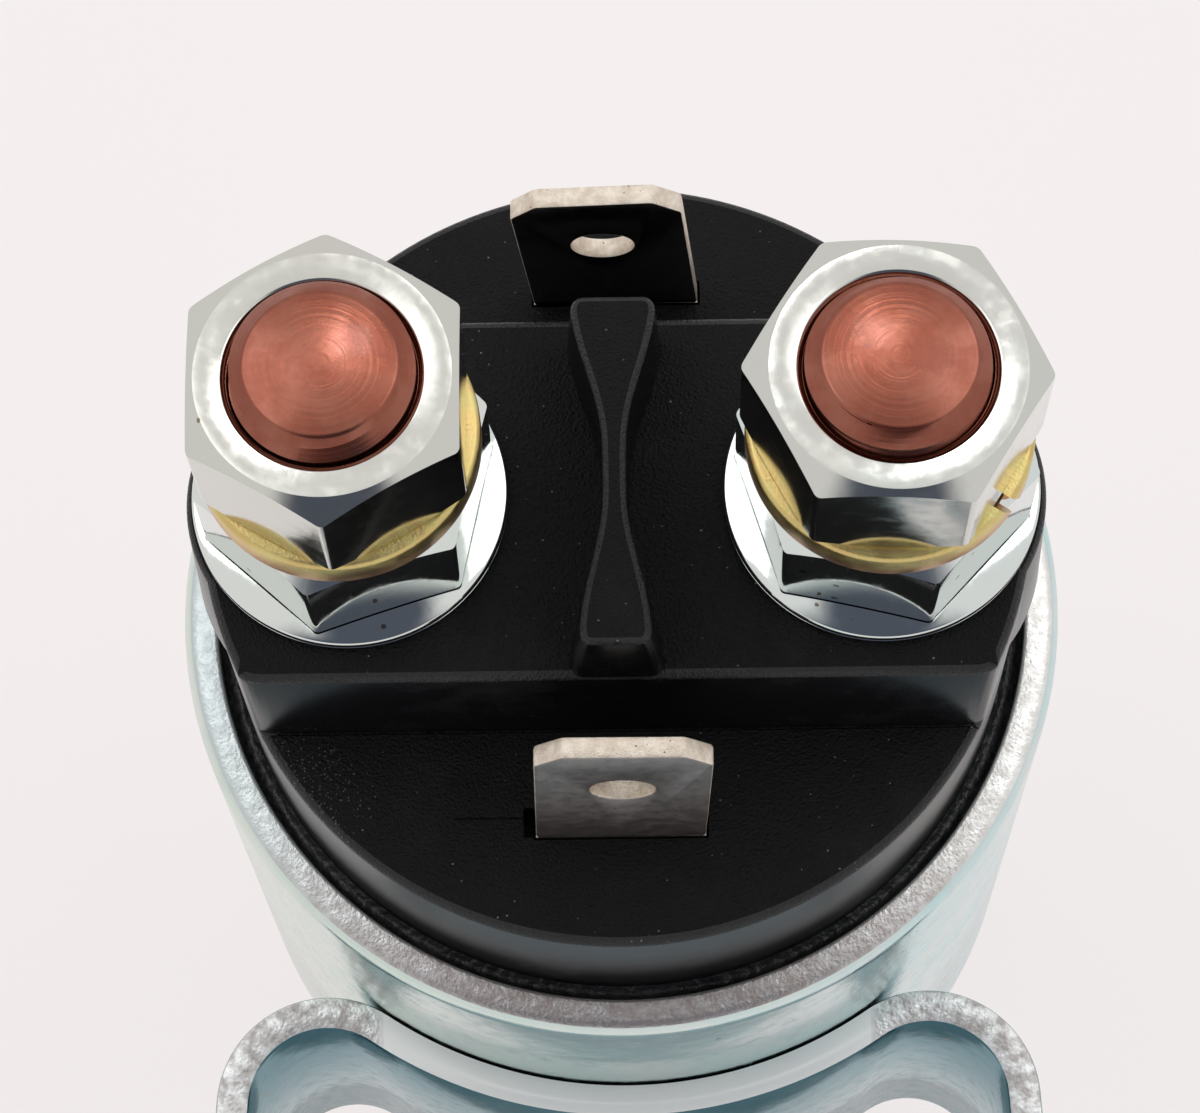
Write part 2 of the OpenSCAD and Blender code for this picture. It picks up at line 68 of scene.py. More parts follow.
def clearSelection():
    if bpy.context.object and bpy.context.object.mode != "OBJECT":
        bpy.ops.object.mode_set(mode="OBJECT")
    bpy.ops.object.select_all(action="DESELECT")


def focus(piece):
    clearSelection()
    bpy.context.view_layer.objects.active = piece
    piece.select_set(True)


def editAll(piece, kind="VERT"):
    focus(piece)
    bpy.ops.object.mode_set(mode="EDIT")
    bpy.ops.mesh.select_mode(type=kind)
    bpy.ops.mesh.select_all(action="SELECT")


def pick(piece, kind, test):
    editAll(piece, kind)
    bpy.ops.mesh.select_all(action="DESELECT")
    bpy.ops.object.mode_set(mode="OBJECT")
    mesh = piece.data
    if kind == "VERT":
        for vertex in mesh.vertices:
            vertex.select = test(vertex.co)
    if kind == "EDGE":
        for edge in mesh.edges:
            a, b = [mesh.vertices[i].co for i in edge.vertices]
            edge.select = test(a, b)
    if kind == "FACE":
        for face in mesh.polygons:
            face.select = test(face.center, face.normal)
    bpy.ops.object.mode_set(mode="EDIT")


def extrudeBy(x, y, z):
    bpy.ops.mesh.extrude_region_move(TRANSFORM_OT_translate={"value": (x, y, z)})


def settle(piece):  # puts the object's place into its mesh
    focus(piece)
    bpy.ops.object.transform_apply(location=True, rotation=True, scale=True)


def faceOutward(piece):
    editAll(piece)
    bpy.ops.mesh.remove_doubles(threshold=tiny)
    bpy.ops.mesh.normals_make_consistent(inside=False)
    clearSelection()


def applyModifier(piece, kind, **settings):
    modifier = piece.modifiers.new(kind.lower(), kind)
    for key, value in settings.items():
        setattr(modifier, key, value)
    focus(piece)
    bpy.ops.object.modifier_apply(modifier=modifier.name)


def combine(piece, tool, how):  # how is UNION, DIFFERENCE or INTERSECT
    applyModifier(piece, "BOOLEAN", operation=how, solver="EXACT", object=tool)
    bpy.data.objects.remove(tool, do_unlink=True)


def roundEdges(piece, width):
    applyModifier(piece, "BEVEL", width=width, segments=2, limit_method="ANGLE",
                  angle_limit=math.radians(50), use_clamp_overlap=True)


def twin(piece, turn=0, shift=(0, 0, 0)):  # a copy with its own mesh, turned about Z and then moved
    copy = piece.copy()
    copy.data = piece.data.copy()
    bpy.context.scene.collection.objects.link(copy)
    copy.matrix_world = Matrix.Translation(shift) @ Matrix.Rotation(math.radians(turn), 4, "Z")
    settle(copy)
    return copy


def arcPath(corners, closed=False, steps=4):  # corners are (across, up, radius)
    path = []
    last = len(corners) - 1
    for i, (across, up, radius) in enumerate(corners):
        here = Vector((across, up))
        if not radius or (not closed and i in (0, last)):
            path.append(here)
            continue
        before = (Vector(corners[i - 1][:2]) - here).normalized()
        after = (Vector(corners[(i + 1) % len(corners)][:2]) - here).normalized()
        half = before.angle(after) / 2
        centre = here + (before + after).normalized() * radius / math.sin(half)
        start = here + before * radius / math.tan(half) - centre
        end = here + after * radius / math.tan(half) - centre
        sweep = math.remainder(math.atan2(end.y, end.x) - math.atan2(start.y, start.x), math.tau)
        for step in range(steps + 1):
            turned = start.copy()
            turned.rotate(Matrix.Rotation(sweep * step / steps, 2))
            path.append(centre + turned)
    return path


def drawLine(name, points):  # a chain of edges, pulled out of one vertex
    clearSelection()
    bpy.ops.mesh.primitive_plane_add(size=mm)
    line = bpy.context.object
    line.name = line.data.name = name
    bpy.ops.object.mode_set(mode="EDIT")
    bpy.ops.mesh.select_mode(type="VERT")
    bpy.ops.mesh.select_all(action="SELECT")
    bpy.ops.mesh.merge(type="CENTER")
    bpy.ops.transform.translate(value=points[0])
    for here, there in zip(points, points[1:]):
        extrudeBy(*(Vector(there) - Vector(here)))
    return line


def turnPiece(name, corners, closed=True, steps=96, arcSteps=4):  # spins a half section about Z
    path = arcPath(corners, closed, arcSteps)
    if closed:
        path.append(path[0])
    piece = drawLine(name, [(p.x, 0, p.y) for p in path])
    applyModifier(piece, "SCREW", axis="Z", angle=math.tau, steps=steps, render_steps=steps,
                  use_merge_vertices=True, merge_threshold=tiny)
    faceOutward(piece)
    return piece


def fillOutline(name, outline, z, height):  # a flat outline, filled and pulled up
    piece = drawLine(name, [(x, y, z) for x, y in list(outline) + [outline[0]]])
    editAll(piece)
    bpy.ops.mesh.remove_doubles(threshold=tiny)
    bpy.ops.mesh.select_all(action="SELECT")
    bpy.ops.mesh.edge_face_add()
    extrudeBy(0, 0, height)
    faceOutward(piece)
    return piece


def addBlock(size, centre, turn=(0, 0, 0)):
    clearSelection()
    bpy.ops.mesh.primitive_cube_add(size=1, location=centre, rotation=turn)
    block = bpy.context.object
    block.scale = size
    settle(block)
    return block


def addRod(radius, low, high, x=0, y=0, sides=64):
    clearSelection()
    bpy.ops.mesh.primitive_cylinder_add(vertices=sides, radius=radius, depth=high - low,
                                        location=(x, y, (low + high) / 2))
    rod = bpy.context.object
    settle(rod)
    return rod


def finishPiece(piece, name, body, nodes, materials, smooth=32, choose=None):
    faceOutward(piece)
    piece.name = piece.data.name = name
    focus(piece)
    bpy.ops.object.shade_smooth_by_angle(angle=math.radians(smooth))
    piece.data.materials.clear()
    for material in materials:
        piece.data.materials.append(material)
    for face in piece.data.polygons:
        face.material_index = choose(face.center, face.normal) if choose else 0
    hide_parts(*nodes)
    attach(piece, body)
    clearSelection()


# Materials

def put(tree, kind, inputs=None, **settings):
    node = tree.nodes.new("ShaderNode" + kind)
    for key, value in settings.items():
        setattr(node, key, value)
    for key, value in (inputs or {}).items():
        if isinstance(value, bpy.types.NodeSocket):
            tree.links.new(value, node.inputs[key])
        else:
            node.inputs[key].default_value = value
    return node


def calc(tree, operation, a, b=0.0):
    return put(tree, "Math", {0: a, 1: b}, operation=operation).outputs[0]


def blendColour(tree, share, a, b):
    return put(tree, "Mix", {0: share, 6: a, 7: b}, data_type="RGBA").outputs[2]


def newGroup(name, inputs, outputs):
    group = bpy.data.node_groups.new(name, "ShaderNodeTree")
    for label, value in inputs.items():
        kind = "NodeSocketFloat" if isinstance(value, (int, float)) else "NodeSocketVector"
        socket = group.interface.new_socket(label, in_out="INPUT", socket_type=kind)
        socket.default_value = value
    for label in outputs:
        group.interface.new_socket(label, in_out="OUTPUT", socket_type="NodeSocketFloat")
    entry = group.nodes.new("NodeGroupInput")
    leave = group.nodes.new("NodeGroupOutput")
    return group, entry.outputs, leave.inputs


def makeGrainGroup():  # blasted or moulded grain, as a height
    group, given, result = newGroup("grain", {"Place": (0, 0, 0), "Size": 0.15 * mm}, ["Height"])
    scale = calc(group, "DIVIDE", 1.0, given["Size"])
    fine = put(group, "TexNoise", {"Vector": given["Place"], "Scale": scale, "Detail": 3.0, "Roughness": 0.6})
    pits = put(group, "TexVoronoi", {"Vector": given["Place"], "Scale": scale}, feature="SMOOTH_F1")
    group.links.new(calc(group, "ADD", fine.outputs["Fac"], calc(group, "MULTIPLY", pits.outputs["Distance"], 0.6)),
                    result["Height"])
    return group


def makeSpeckGroup():  # scattered small spots, as a mask
    group, given, result = newGroup("specks", {"Place": (0, 0, 0), "Size": 0.8 * mm, "Share": 0.1, "Spot": 0.14},
                                    ["Mask"])
    scale = calc(group, "DIVIDE", 1.0, given["Size"])
    warp = put(group, "TexNoise", {"Vector": given["Place"], "Scale": calc(group, "MULTIPLY", scale, 4.0)})
    cells = put(group, "TexVoronoi", {"Vector": given["Place"], "Scale": scale})
    parts = put(group, "SeparateColor", {"Color": cells.outputs["Color"]})
    chosen = calc(group, "LESS_THAN", parts.outputs[0], given["Share"])
    ragged = calc(group, "ADD", cells.outputs["Distance"],
                  calc(group, "MULTIPLY", calc(group, "SUBTRACT", warp.outputs["Fac"], 0.5), 0.16))
    reach = calc(group, "MULTIPLY", given["Spot"], calc(group, "ADD", 0.4, parts.outputs[1]))
    spot = calc(group, "LESS_THAN", ragged, reach)
    group.links.new(calc(group, "MULTIPLY", chosen, spot), result["Mask"])
    return group


def makePatchGroup():  # broad soft patches, as a mask
    group, given, result = newGroup("patches", {"Place": (0, 0, 0), "Size": 6 * mm, "Low": 0.5, "High": 0.7},
                                    ["Mask"])
    scale = calc(group, "DIVIDE", 1.0, given["Size"])
    cloud = put(group, "TexNoise", {"Vector": given["Place"], "Scale": scale, "Detail": 4.0, "Roughness": 0.6})
    ramp = put(group, "MapRange", {0: cloud.outputs["Fac"], 1: given["Low"], 2: given["High"]},
               interpolation_type="SMOOTHSTEP")
    group.links.new(ramp.outputs[0], result["Mask"])
    return group


def makeRingGroup():  # turning marks round an upright axis through Centre, as a height
    group, given, result = newGroup("turningMarks", {"Place": (0, 0, 0), "Centre": (0, 0, 0), "Size": 0.25 * mm},
                                    ["Height"])
    local = put(group, "VectorMath", {0: given["Place"], 1: given["Centre"]}, operation="SUBTRACT")
    flat = put(group, "VectorMath", {0: local.outputs[0], 1: (1, 1, 0)}, operation="MULTIPLY")
    away = put(group, "VectorMath", {0: flat.outputs[0]}, operation="LENGTH")
    turns = calc(group, "DIVIDE", away.outputs["Value"], given["Size"])
    marks = put(group, "TexNoise", {"W": turns, "Scale": 1.0, "Detail": 3.0}, noise_dimensions="1D")
    group.links.new(marks.outputs["Fac"], result["Height"])
    return group


grainGroup = makeGrainGroup()
speckGroup = makeSpeckGroup()
patchGroup = makePatchGroup()
ringGroup = makeRingGroup()


def useGroup(tree, group, **inputs):
    return put(tree, "Group", inputs, node_tree=group).outputs[0]


def grains(tree, place, size):
    return useGroup(tree, grainGroup, Place=place, Size=size)


def specks(tree, place, size, share, spot):
    return useGroup(tree, speckGroup, Place=place, Size=size, Share=share, Spot=spot)


def patches(tree, place, size, low, high):
    return useGroup(tree, patchGroup, Place=place, Size=size, Low=low, High=high)


def newMaterial(name, **sockets):
    material = bpy.data.materials.new(name)
    material.use_nodes = True
    tree = material.node_tree
    shader = tree.nodes["Principled BSDF"]
    for key, value in sockets.items():
        shader.inputs[key.replace("_", " ")].default_value = value
    place = put(tree, "TexCoord").outputs["Object"]
    return material, tree, shader, place


def feed(tree, shader, **sockets):
    for key, value in sockets.items():
        tree.links.new(value, shader.inputs[key.replace("_", " ")])


def bumpFrom(tree, height, depth):
    return put(tree, "Bump", {"Height": height, "Distance": depth, "Strength": 1.0}).outputs[0]


def grade(tree, value, low, high, toLow, toHigh):
    return put(tree, "MapRange", {0: value, 1: low, 2: high, 3: toLow, 4: toHigh}).outputs[0]


# Black moulding: one finish each for its tops, walls, edges and round side

mouldingFinish = {
    "colour": (0.0035, 0.0035, 0.0045, 1),
    "dust": (0.16, 0.15, 0.14, 1),
    # painted highlight: grey glint specks on the black moulding, thickest round one spot at the front left of the
    # lower step
    "paintedHighlight": (0.075, 0.09, 0.09, 1),
    "paintedHighlightAt": (-17.6 * mm, -13.8 * mm, stepZ),
    "paintedHighlightReach": (1.2 * mm, 4.2 * mm),
    "scuff": (0.012, 0.012, 0.014, 1),
    "grain": 0.16 * mm,
}


def mouldingMaterial(name, depth, roughness, specular, dustShare, ior=1.5):
    material, tree, shader, place = newMaterial(name, Specular_IOR_Level=specular, IOR=ior)
    scuffs = patches(tree, place, 7 * mm, 0.5, 0.75)
    dust = specks(tree, place, 0.5 * mm, dustShare, 0.09)
    grain = grains(tree, place, mouldingFinish["grain"])
    # Painted highlight: grey specks standing in for glints, fading out with distance from that spot
    away = put(tree, "VectorMath", {0: place, 1: mouldingFinish["paintedHighlightAt"]}, operation="DISTANCE").outputs["Value"]
    near, far = mouldingFinish["paintedHighlightReach"]
    paintedHighlightShare = grade(tree, away, near, far, 0.8, 0.0)
    paintedHighlight = specks(tree, place, 0.17 * mm, paintedHighlightShare, 0.26)
    colour = blendColour(tree, calc(tree, "MULTIPLY", scuffs, grain), mouldingFinish["colour"],
                         mouldingFinish["scuff"])
    colour = blendColour(tree, dust, colour, mouldingFinish["dust"])
    feed(tree, shader, Base_Color=blendColour(tree, paintedHighlight, colour, mouldingFinish["paintedHighlight"]),
         Roughness=grade(tree, scuffs, 0, 1, roughness, roughness + 0.12),
         Normal=bumpFrom(tree, grain, depth))
    return material


# Zinc plating, with the faint colours of its film, drifted from left to right as a painted reflection; the strip also
# gets a painted dark shade

zincFinish = {
    "pale": (0.80, 0.82, 0.80, 1),
    "cyan": (0.50, 0.78, 0.80, 1),
    "green": (0.66, 0.80, 0.70, 1),
    "lilac": (0.62, 0.62, 0.70, 1),
    "grime": (0.30, 0.24, 0.18, 1),
    "paintedReflectionReach": 20 * mm,
}


def zincMaterial(name, rough, tint, grime, waviness, paintedShadeTint=None, pale=zincFinish["pale"]):
    material, tree, shader, place = newMaterial(name, Metallic=1.0)
    cloudy = patches(tree, place, 9 * mm, 0.35, 0.65)
    streaks = patches(tree, place, 2.2 * mm, 0.45, 0.8)
    dull = patches(tree, place, 0.9 * mm, 0.4, 0.8)
    dirt = specks(tree, place, 0.9 * mm, grime, 0.2)
    # Painted reflection: the film tint drifts from green on the left to cyan on the right, standing in for the
    # surroundings reflected in the plating; the tints themselves are the film's own
    side = put(tree, "SeparateXYZ", {0: place}).outputs[0]
    paintedReflectionDrift = grade(tree, side, -zincFinish["paintedReflectionReach"], zincFinish["paintedReflectionReach"], 0.0, 1.0)
    film = blendColour(tree, paintedReflectionDrift, zincFinish["green"], zincFinish["cyan"])
    film = blendColour(tree, calc(tree, "MULTIPLY", streaks, 0.6), film, zincFinish["lilac"])
    filmShare = calc(tree, "MULTIPLY", calc(tree, "ADD", calc(tree, "MULTIPLY", cloudy, 0.6), 0.4), tint)
    colour = blendColour(tree, filmShare, pale, film)
    # Painted shade: a dark teal tint over most of the strip, partly its blue film and mostly standing in for the dark
    # reflections inside the bracket
    if paintedShadeTint:
        shade = patches(tree, place, 14 * mm, 0.2, 0.62)
        colour = blendColour(tree, grade(tree, shade, 0, 1, 0.75, 1.0), colour, paintedShadeTint)
    colour = blendColour(tree, dirt, colour, zincFinish["grime"])
    wave = put(tree, "TexNoise", {"Vector": place, "Scale": 1 / (1.6 * mm), "Detail": 2.0})
    grain = grains(tree, place, 0.12 * mm)
    height = calc(tree, "ADD", wave.outputs["Fac"], calc(tree, "MULTIPLY", grain, 0.05))
    feed(tree, shader, Base_Color=colour, Roughness=grade(tree, dull, 0, 1, *rough),
         Normal=bumpFrom(tree, height, waviness))
    return material


# Cut steel edges, with a painted highlight near the middle: white, barely metallic and smoother there. With front,
# they are cooler on the left and browned in front.

cutFinish = {
    "spark": (0.8, 0.82, 0.8, 1),
    "paintedHighlight": (0.98, 0.985, 0.99, 1),
    "paintedHighlightFade": (0.6 * mm, 0.4 * mm),
    "cool": (0.60, 0.66, 0.67, 1),
    "coolReach": (-24 * mm, -8 * mm),
    "brown": (0.60, 0.58, 0.58, 1),
    "brownReach": (-24 * mm, -13 * mm),
}


def cutEdgeMaterial(name, dark, light, smoothHighlightReach, depth, roughness, front=None):
    material, tree, shader, place = newMaterial(name, Metallic=1.0)
    tear = grains(tree, place, 0.22 * mm)
    patch = patches(tree, place, 0.8 * mm, 0.3, 0.7)
    spark = specks(tree, place, 0.45 * mm, 0.2, 0.2)
    colour = blendColour(tree, patch, (*dark, 1), (*light, 1))
    colour = blendColour(tree, spark, colour, cutFinish["spark"])
    across, along = put(tree, "SeparateXYZ", {0: place}).outputs[:2]
    if front:
        cool = grade(tree, across, *cutFinish["coolReach"], 1.0, 0.0)
        brown = grade(tree, along, *cutFinish["brownReach"], 1.0, 0.0)
        colour = blendColour(tree, cool, colour, cutFinish["cool"])
        colour = blendColour(tree, brown, colour, blendColour(tree, patch, (*front, 1), cutFinish["brown"]))
    # Painted highlight: within the reach across the middle the edge turns white and barely metallic; the same mask
    # also smooths it
    before, after = cutFinish["paintedHighlightFade"]
    paintedHighlight = grade(tree, calc(tree, "ABSOLUTE", across), smoothHighlightReach - before, smoothHighlightReach + after, 1.0, 0.0)
    colour = blendColour(tree, paintedHighlight, colour, cutFinish["paintedHighlight"])
    rough = grade(tree, patch, 0, 1, roughness + 0.15, roughness)
    height = calc(tree, "MULTIPLY", tear, calc(tree, "SUBTRACT", 1.03, paintedHighlight))
    feed(tree, shader, Base_Color=colour, Roughness=grade(tree, paintedHighlight, 0, 1, rough, 0.12),
         Metallic=grade(tree, paintedHighlight, 0, 1, 1.0, 0.1),
         Normal=bumpFrom(tree, height, depth))
    return material


def copperMaterial(name, centre):
    material, tree, shader, place = newMaterial(name, Metallic=1.0, Coat_Weight=0.35, Coat_Roughness=0.12)
    marks = useGroup(tree, ringGroup, Place=place, Centre=centre, Size=0.35 * mm)
    patch = patches(tree, place, 2.5 * mm, 0.35, 0.7)
    fine = grains(tree, place, 0.1 * mm)
    colour = blendColour(tree, patch, (0.26, 0.075, 0.045, 1), (0.34, 0.125, 0.085, 1))
    colour = blendColour(tree, grade(tree, marks, 0.3, 0.7, 0.3, 0.0), colour, (0.34, 0.09, 0.06, 1))
    height = calc(tree, "ADD", marks, calc(tree, "MULTIPLY", fine, 0.15))
    feed(tree, shader, Base_Color=colour, Roughness=grade(tree, patch, 0, 1, 0.28, 0.2),
         Normal=bumpFrom(tree, height, 0.012 * mm))
    return material


def yellowZincMaterial():
    material, tree, shader, place = newMaterial("yellowZinc", Metallic=1.0)
    up = put(tree, "SeparateXYZ", {0: place}).outputs[2]
    # The washer is coloured copper-brown low down and gold towards the top
    rise = grade(tree, up, lockZ + 0.5 * mm, lockZ + 1.8 * mm, 0.0, 1.0)
    patch = patches(tree, place, 1.8 * mm, 0.35, 0.7)
    gold = blendColour(tree, patch, (0.68, 0.50, 0.20, 1), (0.76, 0.66, 0.27, 1))
    lowerTone = blendColour(tree, patch, (0.66, 0.33, 0.17, 1), (0.72, 0.46, 0.24, 1))
    fine = grains(tree, place, 0.15 * mm)
    feed(tree, shader, Base_Color=blendColour(tree, rise, lowerTone, gold),
         Roughness=grade(tree, patch, 0, 1, 0.3, 0.45), Normal=bumpFrom(tree, fine, 0.015 * mm))
    return material


def bladeMaterial(name, dark, light, roughness, depth):
    material, tree, shader, place = newMaterial(name, Metallic=1.0)
    patch = patches(tree, place, 0.7 * mm, 0.3, 0.75)
    pits = specks(tree, place, 0.3 * mm, 0.3, 0.13)
    fine = grains(tree, place, 0.1 * mm)
    colour = blendColour(tree, patch, (*dark, 1), (*light, 1))
    colour = blendColour(tree, pits, colour, (0.2, 0.15, 0.11, 1))
    feed(tree, shader, Base_Color=colour, Roughness=grade(tree, patch, 0, 1, roughness, roughness + 0.05),
         Normal=bumpFrom(tree, fine, depth))
    return material


def plainMaterial(name, dark, light, metallic, roughness, patchSize, grainSize, grainDepth):
    material, tree, shader, place = newMaterial(name, Metallic=metallic)
    patch = patches(tree, place, patchSize, 0.35, 0.7)
    grain = grains(tree, place, grainSize)
    feed(tree, shader, Base_Color=blendColour(tree, patch, (*dark, 1), (*light, 1)),
         Roughness=grade(tree, patch, 0, 1, roughness, roughness + 0.1),
         Normal=bumpFrom(tree, grain, grainDepth))
    return material


def windingMaterial():  # enamelled wire, seen as bands round the bobbin
    material, tree, shader, place = newMaterial("windingWire", Metallic=1.0)
    up = put(tree, "SeparateXYZ", {0: place}).outputs[2]
    turns = calc(tree, "SINE", calc(tree, "MULTIPLY", up, math.tau / (0.6 * mm)))
    patch = patches(tree, place, 3 * mm, 0.35, 0.7)
    colour = blendColour(tree, patch, (0.36, 0.11, 0.03, 1), (0.55, 0.21, 0.08, 1))
    feed(tree, shader, Base_Color=colour, Roughness=grade(tree, patch, 0, 1, 0.25, 0.4),
         Normal=bumpFrom(tree, turns, 0.12 * mm))
    return material


capTop = mouldingMaterial("mouldingTop", depth=0.12 * mm, roughness=0.42, specular=0.17, dustShare=0.3)
capWall = mouldingMaterial("mouldingWall", depth=0.006 * mm, roughness=0.24, specular=0.4, dustShare=0.03)
capEdge = mouldingMaterial("mouldingEdge", depth=0.12 * mm, roughness=0.3, specular=0.5, dustShare=0.2)
capSide = mouldingMaterial("mouldingSide", depth=0.01 * mm, roughness=0.33, specular=1.0, dustShare=0.05, ior=1.9)
canZinc = zincMaterial("canZinc", rough=(0.16, 0.30), tint=0.8, grime=0.02, waviness=0.02 * mm)
# the strip's zinc carries the painted dark teal shade
stripZinc = zincMaterial("stripZinc", rough=(0.14, 0.3), tint=1.0, grime=0.02, waviness=0.03 * mm,
                         paintedShadeTint=(0.13, 0.28, 0.325, 1))
flangeZinc = zincMaterial("flangeNutZinc", rough=(0.05, 0.12), tint=0.2, grime=0.08, waviness=0.004 * mm)
nutZinc = zincMaterial("topNutZinc", rough=(0.09, 0.17), tint=0.15, grime=0.02, waviness=0.006 * mm,
                       pale=(0.70, 0.68, 0.64, 1))
rimEdge = cutEdgeMaterial("rimEdge", (0.80, 0.78, 0.75), (0.92, 0.93, 0.92), smoothHighlightReach=-mm, depth=0.03 * mm,
                          roughness=0.3, front=(0.42, 0.37, 0.36))
# the strip's top edge carries the painted white highlight within 15.4 mm of the middle
stripEdge = cutEdgeMaterial("stripEdge", (0.50, 0.47, 0.46), (0.96, 0.97, 0.98), smoothHighlightReach=15.4 * mm,
                            depth=0.06 * mm, roughness=0.4)
yellowZinc = yellowZincMaterial()
copperLeft = copperMaterial("copperLeft", (-studX, 0, 0))
copperRight = copperMaterial("copperRight", (studX, 0, 0))
bladeFront = bladeMaterial("bladeFront", (0.36, 0.32, 0.31), (0.45, 0.41, 0.39), 0.4, 0.012 * mm)
bladeRear = bladeMaterial("bladeRear", (0.34, 0.31, 0.29), (0.44, 0.40, 0.37), 0.16, 0.003 * mm)
# Painted highlight: the blades' edges, bevels and hole walls get a much paler copy of the blade colour, standing in
# for the light they catch
bladeEdgePaintedHighlight = bladeMaterial("bladeEdgePaintedHighlight", (0.70, 0.60, 0.50), (0.95, 0.88, 0.78), 0.5, 0.03 * mm)
# Dark and light tint, metallic, roughness, size of the patches, size and depth of the grain
compound = plainMaterial("compound", (0.008, 0.008, 0.009), (0.02, 0.02, 0.022), 0.0, 0.25, 3 * mm, 0.5 * mm,
                         0.1 * mm)
rubber = plainMaterial("rubber", (0.012, 0.012, 0.012), (0.03, 0.03, 0.03), 0.0, 0.6, 3 * mm, 0.2 * mm, 0.03 * mm)
fibre = plainMaterial("fibreBoard", (0.24, 0.12, 0.05), (0.38, 0.21, 0.10), 0.0, 0.6, 2 * mm, 0.3 * mm, 0.05 * mm)
softIron = plainMaterial("softIron", (0.30, 0.30, 0.31), (0.46, 0.46, 0.47), 1.0, 0.32, 4 * mm, 0.2 * mm, 0.02 * mm)
nylon = plainMaterial("bobbinNylon", (0.60, 0.56, 0.42), (0.72, 0.69, 0.56), 0.0, 0.4, 5 * mm, 0.3 * mm, 0.02 * mm)
tape = plainMaterial("coilTape", (0.50, 0.42, 0.14), (0.64, 0.56, 0.24), 0.0, 0.35, 3 * mm, 0.6 * mm, 0.05 * mm)
brass = plainMaterial("brass", (0.62, 0.42, 0.14), (0.78, 0.58, 0.24), 1.0, 0.24, 4 * mm, 0.2 * mm, 0.02 * mm)
springSteel = plainMaterial("springSteel", (0.22, 0.23, 0.25), (0.40, 0.41, 0.43), 1.0, 0.26, 1 * mm, 0.1 * mm,
                            0.01 * mm)
discCopper = plainMaterial("discCopper", (0.62, 0.24, 0.14), (0.80, 0.38, 0.26), 1.0, 0.28, 3 * mm, 0.15 * mm,
                           0.02 * mm)
winding = windingMaterial()
print("materials made")


# Camera, at the photograph's viewing angle

cameraView = {
    "azimuth": 2.664,
    "elevation": 71.653,
    "roll": -3.310,
    "distance": 221.31 * mm,
    "target": (-0.885 * mm, -3.515 * mm, platformZ),
    "focalPixels": 4064.3,
    "imageWidth": 1200,
    "sensor": 36,
}


def makeCamera():
    view = cameraView
    azimuth, elevation, roll = [math.radians(view[key]) for key in ("azimuth", "elevation", "roll")]
    back = Vector((math.sin(azimuth) * math.cos(elevation), -math.cos(azimuth) * math.cos(elevation),
                   math.sin(elevation)))
    right = Vector((0, 0, 1)).cross(back).normalized()
    up = back.cross(right)
    across = right * math.cos(roll) + up * math.sin(roll)
    upward = up * math.cos(roll) - right * math.sin(roll)
    lens = bpy.data.cameras.new("camera")
    lens.sensor_fit = "HORIZONTAL"
    lens.sensor_width = view["sensor"]
    lens.lens = view["sensor"] * view["focalPixels"] / view["imageWidth"]
    lens.clip_start = 0.01
    lens.clip_end = 20
    camera = bpy.data.objects.new("camera", lens)
    bpy.context.scene.collection.objects.link(camera)
    turned = Matrix((across, upward, back)).transposed().to_4x4()
    camera.matrix_world = Matrix.Translation(Vector(view["target"]) + back * view["distance"]) @ turned
    bpy.context.scene.camera = camera


makeCamera()


# Can

canShape = {
    "wall": 2.1 * mm,
    "cornerRadius": 3 * mm,
    "rimRound": 1.0 * mm,
    "rimInner": 0.25 * mm,
    "rimFall": 0.25 * mm,
    "rimDepth": 1.2 * mm,
    "rimFlat": 0.75,
}


def makeCan():
    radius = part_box("can")[1].x
    bore = radius - canShape["wall"]
    floorZ = canShape["wall"]
    inner = canShape["cornerRadius"] - canShape["wall"]
    can = turnPiece("canShell", [
        (0, 0, 0), (radius, 0, canShape["cornerRadius"]), (radius, rimZ - canShape["rimFall"], canShape["rimRound"]),
        (bore, rimZ, canShape["rimInner"]), (bore, floorZ, inner), (0, floorZ, 0),
    ], closed=False, steps=180, arcSteps=6)
    finishPiece(can, "canShell", "housing", ["can"], [canZinc, rimEdge],
                choose=lambda centre, normal: int(centre.z > rimZ - canShape["rimDepth"]
                                                  and normal.z > canShape["rimFlat"]))


makeCan()
print("can made")


# Mounting bracket

stripShape = {
    "thickness": 2 * mm,
    "gap": 0.05 * mm,
    "saddleAngle": 34,
    "hornRadius": 4.7 * mm,
    "splay": 3,
    "bendRadius": 3 * mm,
    "cornerRadius": 5 * mm,
    "holeRadius": 3.4 * mm,
    "holeX": 34 * mm,
    "edge": 0.3 * mm,
}


def drawHalfStrip(low, high):  # the strip's middle line, from the saddle's middle to the right foot
    shape = stripShape
    half = shape["thickness"] / 2
    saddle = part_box("can")[1].x + shape["gap"] + half
    horn = shape["hornRadius"] + half
    bend = shape["bendRadius"] + half
    angle, splay = math.radians(shape["saddleAngle"]), math.radians(shape["splay"])
    hornAt = Vector((math.sin(angle), -math.cos(angle), 0)) * (saddle + horn)
    legTop = hornAt + Vector((math.cos(splay), math.sin(splay), 0)) * horn
    bendY = low.y + half + bend
    run = (legTop.y - (bendY - bend * math.sin(splay))) / math.cos(splay)
    legEnd = legTop + Vector((math.sin(splay), -math.cos(splay), 0)) * run
    bendAt = Vector((legEnd.x + bend * math.cos(splay), bendY, 0))
    strip = drawLine("bracketStrip", [(0, -saddle, low.z)])
    bpy.ops.mesh.spin(steps=24, angle=-angle, center=(0, 0, 0), axis=(0, 0, 1))
    bpy.ops.mesh.spin(steps=28, angle=math.pi / 2 + angle - splay, center=hornAt, axis=(0, 0, 1))
    extrudeBy(*(legEnd - legTop))
    bpy.ops.mesh.spin(steps=12, angle=-(math.pi / 2 - splay), center=bendAt, axis=(0, 0, 1))
    extrudeBy(high.x - bendAt.x, 0, 0)
    return strip


